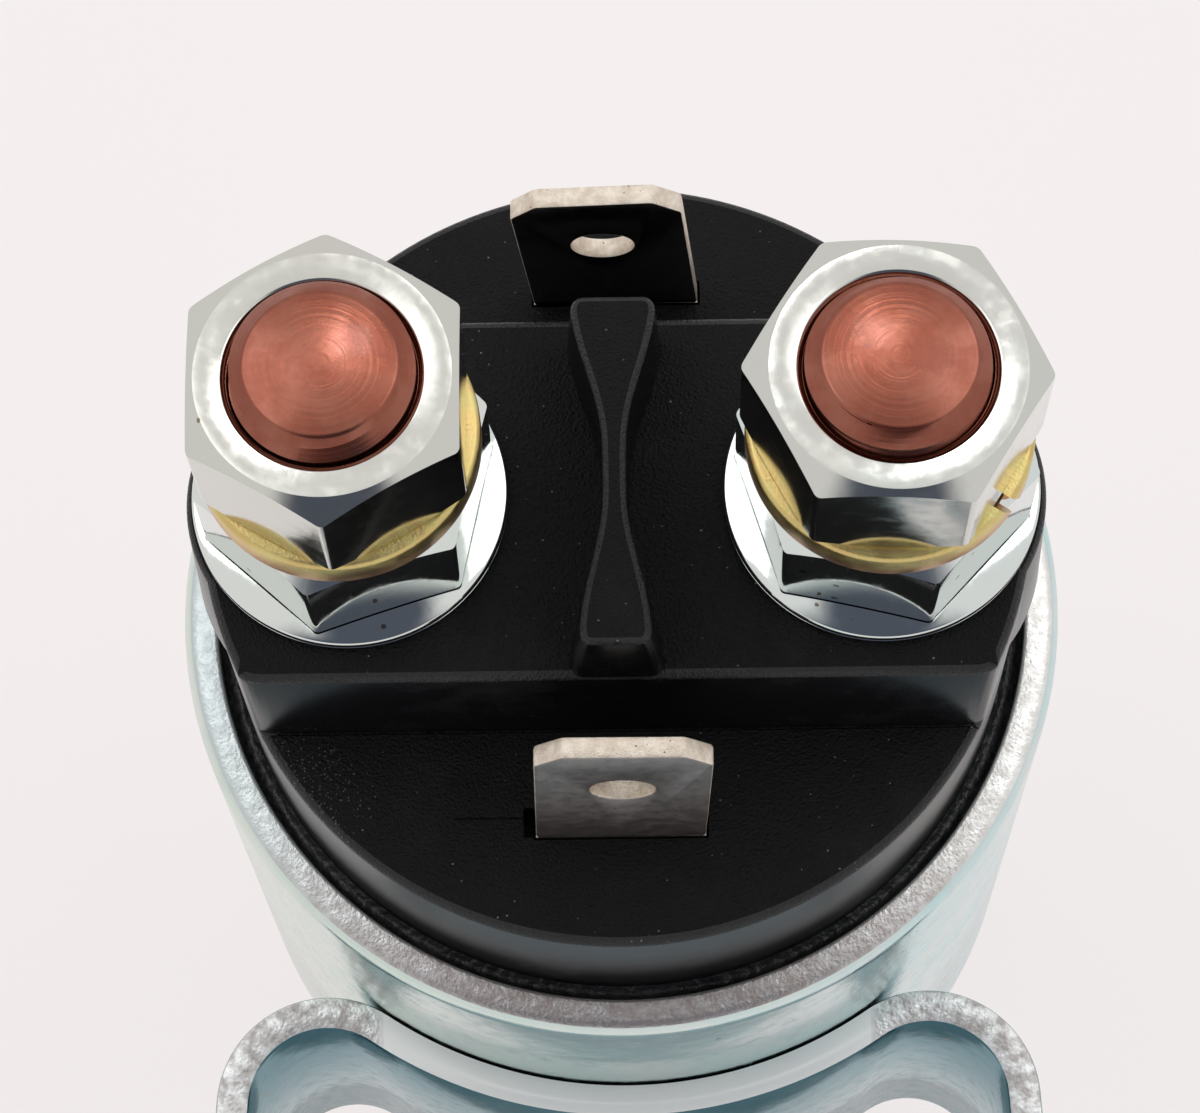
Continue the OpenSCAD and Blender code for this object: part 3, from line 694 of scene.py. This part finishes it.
def makeBracket():
    shape = stripShape
    low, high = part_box("mounting_bracket")
    half = shape["thickness"] / 2
    strip = drawHalfStrip(low, high)
    bpy.ops.mesh.select_all(action="SELECT")
    extrudeBy(0, 0, high.z - low.z)
    clearSelection()
    applyModifier(strip, "MIRROR", use_axis=(True, False, False), use_clip=True, merge_threshold=tiny)
    faceOutward(strip)
    applyModifier(strip, "SOLIDIFY", thickness=shape["thickness"], offset=0, use_even_offset=True)
    faceOutward(strip)
    pick(strip, "EDGE", lambda a, b: abs(a.x - b.x) < tiny and abs(a.x) > high.x - tiny
         and abs(a.z - b.z) < tiny and (a.z < low.z + tiny or a.z > high.z - tiny))
    bpy.ops.mesh.bevel(offset=shape["cornerRadius"], segments=8, affect="EDGES", clamp_overlap=False)
    clearSelection()
    middle = (low.z + high.z) / 2
    for side in (-1, 1):
        drill = addRod(shape["holeRadius"], -half * 4, half * 4)
        drill.rotation_euler = (math.pi / 2, 0, 0)
        drill.location = (side * shape["holeX"], low.y + half, middle)
        settle(drill)
        combine(strip, drill, "DIFFERENCE")
    roundEdges(strip, shape["edge"])
    finishPiece(strip, "bracketStrip", "housing", ["mounting_bracket"], [stripZinc, stripEdge],
                choose=lambda centre, normal: int(abs(normal.z) > 0.9))


makeBracket()
print("bracket made")


# Cap: one moulding, with its platform, rib, bores and slots

capShape = {
    "radius": 22.8 * mm,
    "footRadius": 23.8 * mm,
    "footHeight": 6 * mm,
    "roof": 3.05 * mm,
    "chamberRadius": 20.6 * mm,
    "platformHalf": 10.4 * mm,
    "cornerRound": 1.0 * mm,
    "edgeRound": 0.45 * mm,
    "studBore": 4.86 * mm,
    "bossTop": 9.05 * mm,
    "bossFoot": 9.5 * mm,
    "slotSize": (9.8 * mm, 1.5 * mm),
    "tabInset": 6.8 * mm,
    "recessSize": (1.1 * mm, 1.7 * mm, 4 * mm),
    "recessShift": 0.25 * mm,
    "seamLine": (4.4 * mm, 0.14 * mm, 0.3 * mm),
    "seamShift": 0.5 * mm,
}
ribShape = {
    "height": 6 * mm,
    "sunk": 0.4 * mm,
    "frontY": -10.32 * mm,
    "rearY": 9.35 * mm,
    "endWidth": 5.4 * mm,
    "waistWidth": 1.6 * mm,
    "waistLength": 2.4 * mm,
    "frontShare": 0.70,
    "rearShare": 0.86,
    "rows": 20,
    "cornerRound": 0.75 * mm,
    "edgeRound": 0.32 * mm,
}


def makeRib():
    shape = ribShape
    length = shape["rearY"] - shape["frontY"]
    middle = (shape["rearY"] + shape["frontY"]) / 2
    straight = shape["waistLength"] / 2

    def halfWidth(y):
        share = max(0, abs(y - middle) - straight) / (length / 2 - straight)
        growth = (shape["endWidth"] - shape["waistWidth"]) * (1 - math.cos(math.pi * share)) / 2
        return (shape["waistWidth"] + growth) / 2

    rows = [shape["frontY"] + length * i / shape["rows"] for i in range(shape["rows"] + 1)]
    corners = [(halfWidth(y), y, 0) for y in rows] + [(-halfWidth(y), y, 0) for y in reversed(rows)]
    for i in (0, shape["rows"], shape["rows"] + 1, len(corners) - 1):
        corners[i] = (corners[i][0], corners[i][1], shape["cornerRound"])
    outline = arcPath(corners, closed=True)
    foot = platformZ - shape["sunk"]
    rib = fillOutline("rib", outline, foot, shape["height"] + shape["sunk"])
    places = sorted({round(y, 7) for _, y in outline})
    for y in places:
        share = shape["frontShare"] + (shape["rearShare"] - shape["frontShare"]) * (y - shape["frontY"]) / length
        pick(rib, "VERT", lambda p: p.z > foot + shape["height"] and abs(p.y - y) < 2 * tiny)
        bpy.ops.transform.resize(value=(share, 1, 1), center_override=(0, y, ribTopZ))
    top = foot + shape["height"]
    pick(rib, "EDGE", lambda a, b: a.z > top and b.z > top)
    bpy.ops.mesh.bevel(offset=shape["edgeRound"], segments=3, affect="EDGES", clamp_overlap=False)
    clearSelection()
    return rib


def makeCapBody():  # the round cap with its platform, its upright corners and upper edges rounded
    radius, edgeY = capShape["radius"], capShape["platformHalf"]
    cap = addRod(radius, capFootZ, stepZ, sides=180)
    for y in (-edgeY, edgeY):
        editAll(cap)
        bpy.ops.mesh.bisect(plane_co=(0, y, 0), plane_no=(0, 1, 0))
    pick(cap, "FACE", lambda centre, normal: normal.z > 0.9 and abs(centre.y) < edgeY)
    extrudeBy(0, 0, platformZ - stepZ)

    def atCorner(p):
        return abs(abs(p.y) - edgeY) < tiny and p.xy.length > radius - 0.05 * mm

    def isUpright(a, b):
        return abs(a.z - b.z) > mm and min(a.z, b.z) > stepZ - tiny

    def onPlatform(a, b):
        return min(a.z, b.z) > platformZ - tiny

    def onStepRim(a, b):
        level = abs(a.z - stepZ) < tiny and abs(b.z - stepZ) < tiny
        return level and min(a.xy.length, b.xy.length) > radius - 0.02 * mm and abs((a.y + b.y) / 2) > edgeY

    pick(cap, "EDGE", lambda a, b: atCorner(a) and atCorner(b) and isUpright(a, b))
    bpy.ops.mesh.bevel(offset=capShape["cornerRound"], segments=4, affect="EDGES", clamp_overlap=False)
    pick(cap, "EDGE", lambda a, b: onPlatform(a, b) or onStepRim(a, b))
    bpy.ops.mesh.bevel(offset=capShape["edgeRound"], segments=3, affect="EDGES", clamp_overlap=False)
    faceOutward(cap)
    return cap


def makeCap():
    shape = capShape
    radius = shape["radius"]
    cap = makeCapBody()
    combine(cap, addRod(shape["footRadius"], capFootZ, capFootZ + shape["footHeight"], sides=180), "UNION")
    for side in (-1, 1):
        boss = turnPiece("boss", [
            (0, stepZ, 0), (shape["bossFoot"], stepZ, 0), (shape["bossTop"], platformZ, shape["edgeRound"]),
            (0, platformZ, 0),
        ], closed=False, steps=120)
        boss.location.x = side * studX
        settle(boss)
        combine(cap, boss, "UNION")
    combine(cap, addRod(shape["chamberRadius"], capFootZ - mm, stepZ - shape["roof"], sides=128), "DIFFERENCE")
    combine(cap, makeRib(), "UNION")
    width, depth = shape["slotSize"]
    for side in (-1, 1):
        combine(cap, addRod(shape["studBore"], capFootZ, platformZ + mm, x=side * studX), "DIFFERENCE")
        tabY = side * (radius - shape["tabInset"])
        combine(cap, addBlock((width, depth, 3 * shape["roof"]), (0, tabY, stepZ)), "DIFFERENCE")
    frontY, left = shape["tabInset"] - radius, -width / 2
    combine(cap, addBlock(shape["recessSize"], (left, frontY + shape["recessShift"], stepZ)), "DIFFERENCE")
    line = shape["seamLine"]
    combine(cap, addBlock(line, (left - line[0] / 2, frontY + shape["seamShift"], stepZ)), "DIFFERENCE")

    def chooseFinish(centre, normal):
        if normal.z > 0.97:
            return 0
        if normal.z > 0.25:
            return 2
        return 3 if centre.xy.length > radius - 0.5 * mm and centre.z < stepZ else 1

    finishPiece(cap, "capMoulding", "housing", ["terminal_cap"],
                [capTop, capWall, capEdge, capSide], smooth=40, choose=chooseFinish)


makeCap()
print("cap made")


# Sealing compound in the gap between the cap and the can

sealShape = {"inner": 22.82 * mm, "outer": 23.83 * mm, "creep": 0.35 * mm, "dip": 0.1 * mm}


def makeSeal():
    low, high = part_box("seal_ring")
    inner, outer = sealShape["inner"], sealShape["outer"]
    seal = turnPiece("sealFillet", [
        (inner, low.z, 0), (outer, low.z, 0), (outer, high.z, 0),
        ((inner + outer) / 2, high.z - sealShape["creep"], 0.5 * mm), (inner, high.z - sealShape["dip"], 0),
    ], steps=128, arcSteps=6)
    finishPiece(seal, "sealFillet", "housing", ["seal_ring"], [compound], smooth=60)


makeSeal()
print("seal made")


# Studs, with a rolled thread above the platform

studShape = {
    "radius": 4.7625 * mm,
    "rootRadius": 3.95 * mm,
    "pitch": 1.5875 * mm,
    "crest": 0.28 * mm,
    "ridgeSunk": 0.15 * mm,
    "ridgeOver": 0.05 * mm,
    "turnGap": 0.04 * mm,
    "threadFoot": 2 * mm,
    "tipInset": 0.85 * mm,
    "tipHeight": 1.0 * mm,
    "tipRound": 0.25 * mm,
    "domeRound": 0.4 * mm,
    "domeDrop": 0.25 * mm,
    "headRadius": 6.5 * mm,
    "headHeight": 3.5 * mm,
    "headReach": 20.55 * mm,
}


def makeRidge(low):  # the thread's ridge, wound up from low
    shape = studShape
    inside, outside = shape["rootRadius"] - shape["ridgeSunk"], shape["radius"] + shape["ridgeOver"]
    pitch, crest = shape["pitch"], shape["crest"]
    ridge = drawLine("ridge", [
        (inside, 0, low - pitch), (outside, 0, low - pitch / 2 - crest / 2),
        (outside, 0, low - pitch / 2 + crest / 2), (inside, 0, low - shape["turnGap"]), (inside, 0, low - pitch),
    ])
    editAll(ridge)
    bpy.ops.mesh.remove_doubles(threshold=tiny)
    clearSelection()
    applyModifier(ridge, "SCREW", axis="Z", angle=math.tau, screw_offset=pitch, steps=48, render_steps=48,
                  iterations=math.ceil((studTopZ - low) / pitch) + 1)
    editAll(ridge)
    bpy.ops.mesh.fill_holes(sides=6)
    faceOutward(ridge)
    return ridge


def makeStud():
    shape = studShape
    radius, root = shape["radius"], shape["rootRadius"]
    low = platformZ + shape["threadFoot"]
    ridge = makeRidge(low)
    tip, drop = radius - shape["tipInset"], shape["domeDrop"]
    dome = [(tip * i / 5, studTopZ - drop * (i / 5) ** 2, shape["domeRound"] if i == 5 else 0)
            for i in range(5, -1, -1)]
    inHead = studFootZ + mm
    blank = turnPiece("blank", [
        (0, inHead, 0), (radius, inHead, 0), (radius, studTopZ - shape["tipHeight"], shape["tipRound"]), *dome,
    ], closed=False, arcSteps=6)
    underIt = studFootZ + 0.5 * mm
    core = turnPiece("core", [
        (0, underIt, 0), (radius + mm, underIt, 0), (radius + mm, low, 0), (root, low, 0), (root, studTopZ + mm, 0),
        (0, studTopZ + mm, 0),
    ], closed=False)
    combine(core, ridge, "UNION")
    combine(blank, core, "INTERSECT")
    head = addRod(shape["headRadius"], studFootZ, studFootZ + shape["headHeight"])
    combine(blank, head, "UNION")
    blank.location.x = studX
    settle(blank)
    trim = addRod(shape["headReach"], studFootZ - mm, studTopZ + mm, sides=128)
    combine(blank, trim, "INTERSECT")
    return blank


studRight = makeStud()
studLeft = twin(studRight, turn=180)
finishPiece(studRight, "studRight", "housing", ["stud_right"], [copperRight], smooth=35)
finishPiece(studLeft, "studLeft", "housing", ["stud_left"], [copperLeft], smooth=35)
print("studs made")


# Nuts

flangeNutShape = {
    "flats": 14.25 * mm,
    "bore": 4.82 * mm,
    "bevel": 0.35 * mm,
    "flangeRadius": 8.65 * mm,
    "flangeEdge": 0.9 * mm,
    "flangeSlope": 12,
    "footChamfer": (0.25 * mm, 0.18 * mm),
    "groove": (0.36 * mm, 0.42 * mm, 0.48 * mm),
    "grooveDepth": 0.12 * mm,
    "edgeRounds": (0.05 * mm, 0.18 * mm),
    "overlap": 0.3 * mm,
    "wellFoot": 0.6 * mm,
    "footLine": 0.05 * mm,
    "sideRound": 0.22 * mm,
    "turns": {"left": 18, "right": 47},
}
topNutShape = {
    "flats": 13.8 * mm,
    "bore": 4.82 * mm,
    "lip": 0.5 * mm,
    "bevel": 0.35 * mm,
    "sideRound": 0.25 * mm,
    "turns": {"left": 30, "right": -2.5},
}
bevelAngle = math.radians(30)


def makeHex(flats, low, high, footBevel, topBevel, sideRound):
    across = flats / 2 / math.cos(math.pi / 6)
    clearSelection()
    bpy.ops.mesh.primitive_cylinder_add(vertices=6, radius=across, depth=high - low,
                                        location=(0, 0, (low + high) / 2))
    body = bpy.context.object
    settle(body)
    pick(body, "EDGE", lambda a, b: abs(a.z - b.z) > mm)
    bpy.ops.mesh.bevel(offset=sideRound, segments=3, affect="EDGES")
    reach = across + mm
    topRadius = flats / 2 - topBevel
    footRadius = flats / 2 - footBevel if footBevel else reach
    blank = turnPiece("turnedBlank", [
        (0, low, 0), (footRadius, low, 0), (reach, low + (reach - footRadius) * math.tan(bevelAngle), 0),
        (reach, high - (reach - topRadius) * math.tan(bevelAngle), 0), (topRadius, high, 0), (0, high, 0),
    ], closed=False, steps=144)
    combine(body, blank, "INTERSECT")
    return body


def placeNuts(nut, shape, name, node, material):
    for side, turn in shape["turns"].items():
        x = studX if side == "right" else -studX
        copy = twin(nut, turn + 30, (x, 0, 0))
        finishPiece(copy, name + side.capitalize(), "housing", [node + side], [material], smooth=25)
    bpy.data.objects.remove(nut, do_unlink=True)


def makeFlangeNuts():
    shape = flangeNutShape
    nut = makeHex(shape["flats"], platformZ, lockZ, 0, shape["bevel"], shape["sideRound"])
    radius, edge = shape["flangeRadius"], shape["flangeEdge"]
    rise = math.tan(math.radians(shape["flangeSlope"]))
    inner = shape["bore"] - shape["overlap"]
    chamfer, chamferTop = shape["footChamfer"]
    below, middle, above = [platformZ + height for height in shape["groove"]]
    lowerRound, upperRound = shape["edgeRounds"]
    flange = turnPiece("flange", [
        (inner, platformZ, 0), (radius - chamfer, platformZ, 0), (radius, platformZ + chamferTop, lowerRound),
        (radius, below, 0), (radius - shape["grooveDepth"], middle, 0), (radius, above, 0),
        (radius, platformZ + edge, upperRound), (inner, platformZ + edge + (radius - inner) * rise, 0),
    ], steps=144)
    well = makeHex(shape["flats"] + 2 * shape["footLine"], platformZ + shape["wellFoot"], lockZ + mm, 0, 0,
                   shape["sideRound"])
    combine(flange, well, "DIFFERENCE")
    combine(nut, flange, "UNION")
    combine(nut, addRod(shape["bore"], platformZ - mm, lockZ + mm, sides=96), "DIFFERENCE")
    placeNuts(nut, shape, "flangeNut", "flange_nut_", flangeZinc)


def makeTopNuts():
    shape = topNutShape
    nut = makeHex(shape["flats"], nutZ, nutTopZ, shape["bevel"], shape["bevel"], shape["sideRound"])
    bore, lip = shape["bore"], shape["lip"]
    drill = turnPiece("drill", [
        (0, nutZ - mm, 0), (bore, nutZ - mm, 0), (bore, nutTopZ, lip), (bore + 2 * lip, nutTopZ + 0.02 * mm, 0),
        (bore, nutTopZ + mm, 0), (0, nutTopZ + mm, 0),
    ], closed=False, arcSteps=6)
    combine(nut, drill, "DIFFERENCE")
    placeNuts(nut, shape, "topNut", "terminal_nut_", nutZinc)


makeFlangeNuts()
makeTopNuts()
print("nuts made")


# Split lock washers

lockShape = {
    "inner": 4.86 * mm,
    "outer": 7.6 * mm,
    "outerRound": 0.35 * mm,
    "innerRound": 0.2 * mm,
    "split": 0.8 * mm,
    "slant": 25,
    "turns": {"left": 100, "right": -34},
}


def makeLockWashers():
    shape = lockShape
    inner, outer = shape["inner"], shape["outer"]
    ring = turnPiece("ring", [
        (inner, lockZ, shape["innerRound"]), (outer, lockZ, shape["outerRound"]), (outer, nutZ, shape["outerRound"]),
        (inner, nutZ, shape["innerRound"]),
    ], steps=120)
    saw = addBlock((outer - inner + 2 * mm, shape["split"], 3 * (nutZ - lockZ)),
                   ((inner + outer) / 2, 0, (lockZ + nutZ) / 2), turn=(math.radians(shape["slant"]), 0, 0))
    combine(ring, saw, "DIFFERENCE")
    for side, turn in shape["turns"].items():
        copy = twin(ring, turn, (studX if side == "right" else -studX, 0, 0))
        finishPiece(copy, "lockWasher" + side.capitalize(), "housing", ["lock_washer_" + side],
                    [yellowZinc], smooth=40)
    bpy.data.objects.remove(ring, do_unlink=True)


makeLockWashers()
print("lock washers made")


# Blade terminals

bladeShape = {
    "width": 9.5 * mm,
    "thickness": 1.2 * mm,
    "rise": 15.2 * mm,
    "bevel": 1.5 * mm,
    "cornerRound": 0.5 * mm,
    "holeRadius": 1.75 * mm,
    "holeDrop": 6.05 * mm,
    "edge": 0.16 * mm,
    "rootDepth": 3.05 * mm,
    "tailWidth": 5 * mm,
    "tailDepth": 5.05 * mm,
    "sunk": 0.02 * mm,
    "inwardLean": 1.2,
    "leans": {"front": 1.3, "rear": -3.8},
}


def makeBlade(side, material):
    shape = bladeShape
    half, rise, bevel, thick = shape["width"] / 2, shape["rise"], shape["bevel"], shape["thickness"]
    turn = shape["cornerRound"]
    corners = [
        (-half, -thick, 0), (half, -thick, 0), (half, rise - bevel, turn), (half - bevel, rise, turn),
        (-half + bevel, rise, turn), (-half, rise - bevel, turn),
    ]
    blade = fillOutline("blade", arcPath(corners, closed=True), -thick / 2, thick)
    hole = addRod(shape["holeRadius"], -2 * mm, 2 * mm, y=rise - shape["holeDrop"], sides=48)
    combine(blade, hole, "DIFFERENCE")
    roundEdges(blade, shape["edge"])
    sign = -1 if side == "front" else 1
    blade.rotation_euler = (math.pi / 2, 0, 0)
    settle(blade)
    blade.rotation_euler = (math.radians(sign * shape["inwardLean"]), math.radians(shape["leans"][side]), 0)
    tabY = sign * (capShape["radius"] - capShape["tabInset"])
    blade.location = (0, tabY, stepZ)
    settle(blade)
    editAll(blade)
    bpy.ops.mesh.bisect(plane_co=(0, 0, stepZ - shape["sunk"]), plane_no=(0, 0, 1), use_fill=True, clear_inner=True)
    clearSelection()
    root = addBlock((shape["width"], thick, shape["rootDepth"]), (0, tabY, stepZ - shape["rootDepth"] / 2))
    tail = addBlock((shape["tailWidth"], thick * 0.98, shape["tailDepth"]), (0, tabY, stepZ - shape["tailDepth"] / 2))
    combine(root, tail, "UNION")
    combine(blade, root, "UNION")
    finishPiece(blade, "blade" + side.capitalize(), "housing", ["coil_tab_" + side],
                [material, bladeEdgePaintedHighlight], smooth=35, choose=lambda centre, normal: int(abs(normal.y) < 0.8))


makeBlade("front", bladeFront)
makeBlade("rear", bladeRear)
print("blades made")


# Springs inside, wound as one wire each

springShapes = {
    "return_spring": {"wire": 0.9 * mm, "mean": 3.75 * mm, "turns": 6},
    "contact_spring": {"wire": 0.8 * mm, "mean": 3.4 * mm, "turns": 2.5},
}


def bodyOf(node):
    return next(body for body, members in frame["record"]["behaviour"]["bodies"].items() if node in members)


def windSpring(node, shape):
    low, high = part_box(node)
    wire = shape["wire"] / 2
    halfTurns = round(shape["turns"] * 2)
    clearSelection()
    bpy.ops.mesh.primitive_circle_add(vertices=14, radius=wire, rotation=(math.pi / 2, 0, 0),
                                      location=(shape["mean"], 0, low.z + wire))
    spring = bpy.context.object
    settle(spring)
    applyModifier(spring, "SCREW", axis="Z", angle=math.pi, iterations=halfTurns, steps=16, render_steps=16,
                  screw_offset=(high.z - low.z - 2 * wire) / halfTurns)
    editAll(spring)
    bpy.ops.mesh.fill_holes(sides=16)
    finishPiece(spring, node.split("_")[0] + "SpringWire", bodyOf(node), [node], [springSteel],
                smooth=50)


for node, shape in springShapes.items():
    windSpring(node, shape)
print("springs made")


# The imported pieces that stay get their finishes

insideFinishes = [
    (rubber, ["cap_gasket", "stud_seal_left", "stud_seal_right"]),
    (fibre, ["insulator_disc", "stop_washer", "lower_bush", "upper_washer"]),
    (softIron, ["pole_plate", "core_stop", "plunger"]),
    (winding, ["coil_winding", "lead_wire_front", "lead_wire_rear"]),
    (springSteel, ["push_rod", "spring_seat", "retaining_clip"]),
    (nylon, ["bobbin"]),
    (tape, ["coil_tape"]),
    (brass, ["guide_tube"]),
    (discCopper, ["contact_disc"]),
]
for material, nodes in insideFinishes:
    for node in nodes:
        for slot in frame["nodes"][node].material_slots:
            slot.material = material
print("inside pieces finished")


# Floor, air and lamps

studio = {
    "floor": (0.84, 0.835, 0.83, 1),
    "paper": (0.985, 0.93, 0.925, 1),
    "air": (0.80, 0.79, 0.78, 1),
    "paperShare": 0.75,
    "mirroredShare": 0.65,
    # painted shadow: the dark card's colour, seen only in reflections
    "shadowCardColour": (0.40, 0.50, 0.54, 1),
    "cardSize": (0.09, 0.07, 1),
    "cardPlace": (0, -0.072, 0.0004),
}
shadedPlaces = {  # where the camera and whoever holds it stand dark in the reflections
    "above": {"axis": (0.03, -0.15, 0.988), "reach": (8, 14), "colour": (0.085, 0.095, 0.125, 1)},
    "behindLens": {"axis": (0.02, -0.52, 0.85), "reach": (17, 30), "colour": (0.085, 0.095, 0.125, 1)},
}
softboxes = {
    "leftBox": {"aim": (-0.46, 0.30, 0.84), "distance": 0.5, "size": (0.22, 0.3), "power": 0.22},
    "rightBox": {"aim": (0.46, 0.30, 0.84), "distance": 0.5, "size": (0.22, 0.3), "power": 0.22},
    "backLamp": {"aim": (0.0, 0.42, 0.91), "distance": 0.6, "size": (0.07, 0.07), "power": 0.12},
}


def makeFloor():
    clearSelection()
    bpy.ops.mesh.primitive_plane_add(size=4)
    floor = bpy.context.object
    floor.name = "floor"
    material, tree, shader, _ = newMaterial("floorPaper", Base_Color=studio["floor"], Roughness=0.9,
                                            Specular_IOR_Level=0.1)
    glow = put(tree, "Emission", {"Color": studio["paper"]}).outputs[0]
    path = put(tree, "LightPath").outputs
    mirrored = calc(tree, "MULTIPLY", path["Is Glossy Ray"], studio["mirroredShare"])
    share = calc(tree, "ADD", calc(tree, "MULTIPLY", path["Is Camera Ray"], studio["paperShare"]), mirrored)
    mixed = put(tree, "MixShader", {0: share, 1: shader.outputs[0], 2: glow}).outputs[0]
    tree.links.new(mixed, tree.nodes["Material Output"].inputs["Surface"])
    floor.data.materials.append(material)


# Painted shadow: the card stands in for the shade on the floor in front of the relay, as the metal reflects it
def makeShadowCard():  # a dark card on the floor in front, met by reflections alone
    clearSelection()
    bpy.ops.mesh.primitive_plane_add(size=1, location=studio["cardPlace"])
    card = bpy.context.object
    card.name = "frontShadowCard"
    card.scale = studio["cardSize"]
    settle(card)
    card.data.materials.append(newMaterial("shadowCardPaper", Base_Color=studio["shadowCardColour"], Roughness=0.9)[0])
    for rays in ("camera", "diffuse", "shadow", "transmission"):
        setattr(card, "visible_" + rays, False)


def makeAir():
    world = bpy.data.worlds.new("studioAir")
    world.use_nodes = True
    bpy.context.scene.world = world
    tree = world.node_tree
    background = tree.nodes["Background"]
    direction = put(tree, "TexCoord").outputs["Generated"]
    lit = studio["air"]
    for place in shadedPlaces.values():
        axis = Vector(place["axis"]).normalized()
        along = put(tree, "VectorMath", {0: direction, 1: axis}, operation="DOT_PRODUCT").outputs["Value"]
        near, far = [math.cos(math.radians(angle)) for angle in place["reach"]]
        shade = put(tree, "MapRange", {0: along, 1: far, 2: near}, interpolation_type="SMOOTHSTEP").outputs[0]
        lit = blendColour(tree, shade, lit, place["colour"])
    seen = put(tree, "LightPath").outputs["Is Camera Ray"]
    colour = blendColour(tree, seen, lit, studio["paper"])
    tree.links.new(colour, background.inputs["Color"])


def makeSoftbox(name, box):
    lamp = bpy.data.lights.new(name, "AREA")
    lamp.shape = "RECTANGLE"
    lamp.size, lamp.size_y = box["size"]
    lamp.energy = box["power"]
    lampObject = bpy.data.objects.new(name, lamp)
    bpy.context.scene.collection.objects.link(lampObject)
    aim = Vector(box["aim"]).normalized()
    lampObject.location = Vector((0, 0, platformZ)) + aim * box["distance"]
    lampObject.rotation_euler = aim.to_track_quat("Z", "Y").to_euler()
    lampObject.visible_camera = False


makeFloor()
makeShadowCard()
makeAir()
for name, box in softboxes.items():
    makeSoftbox(name, box)
bpy.context.scene.view_settings.view_transform = "Standard"
print("studio made")
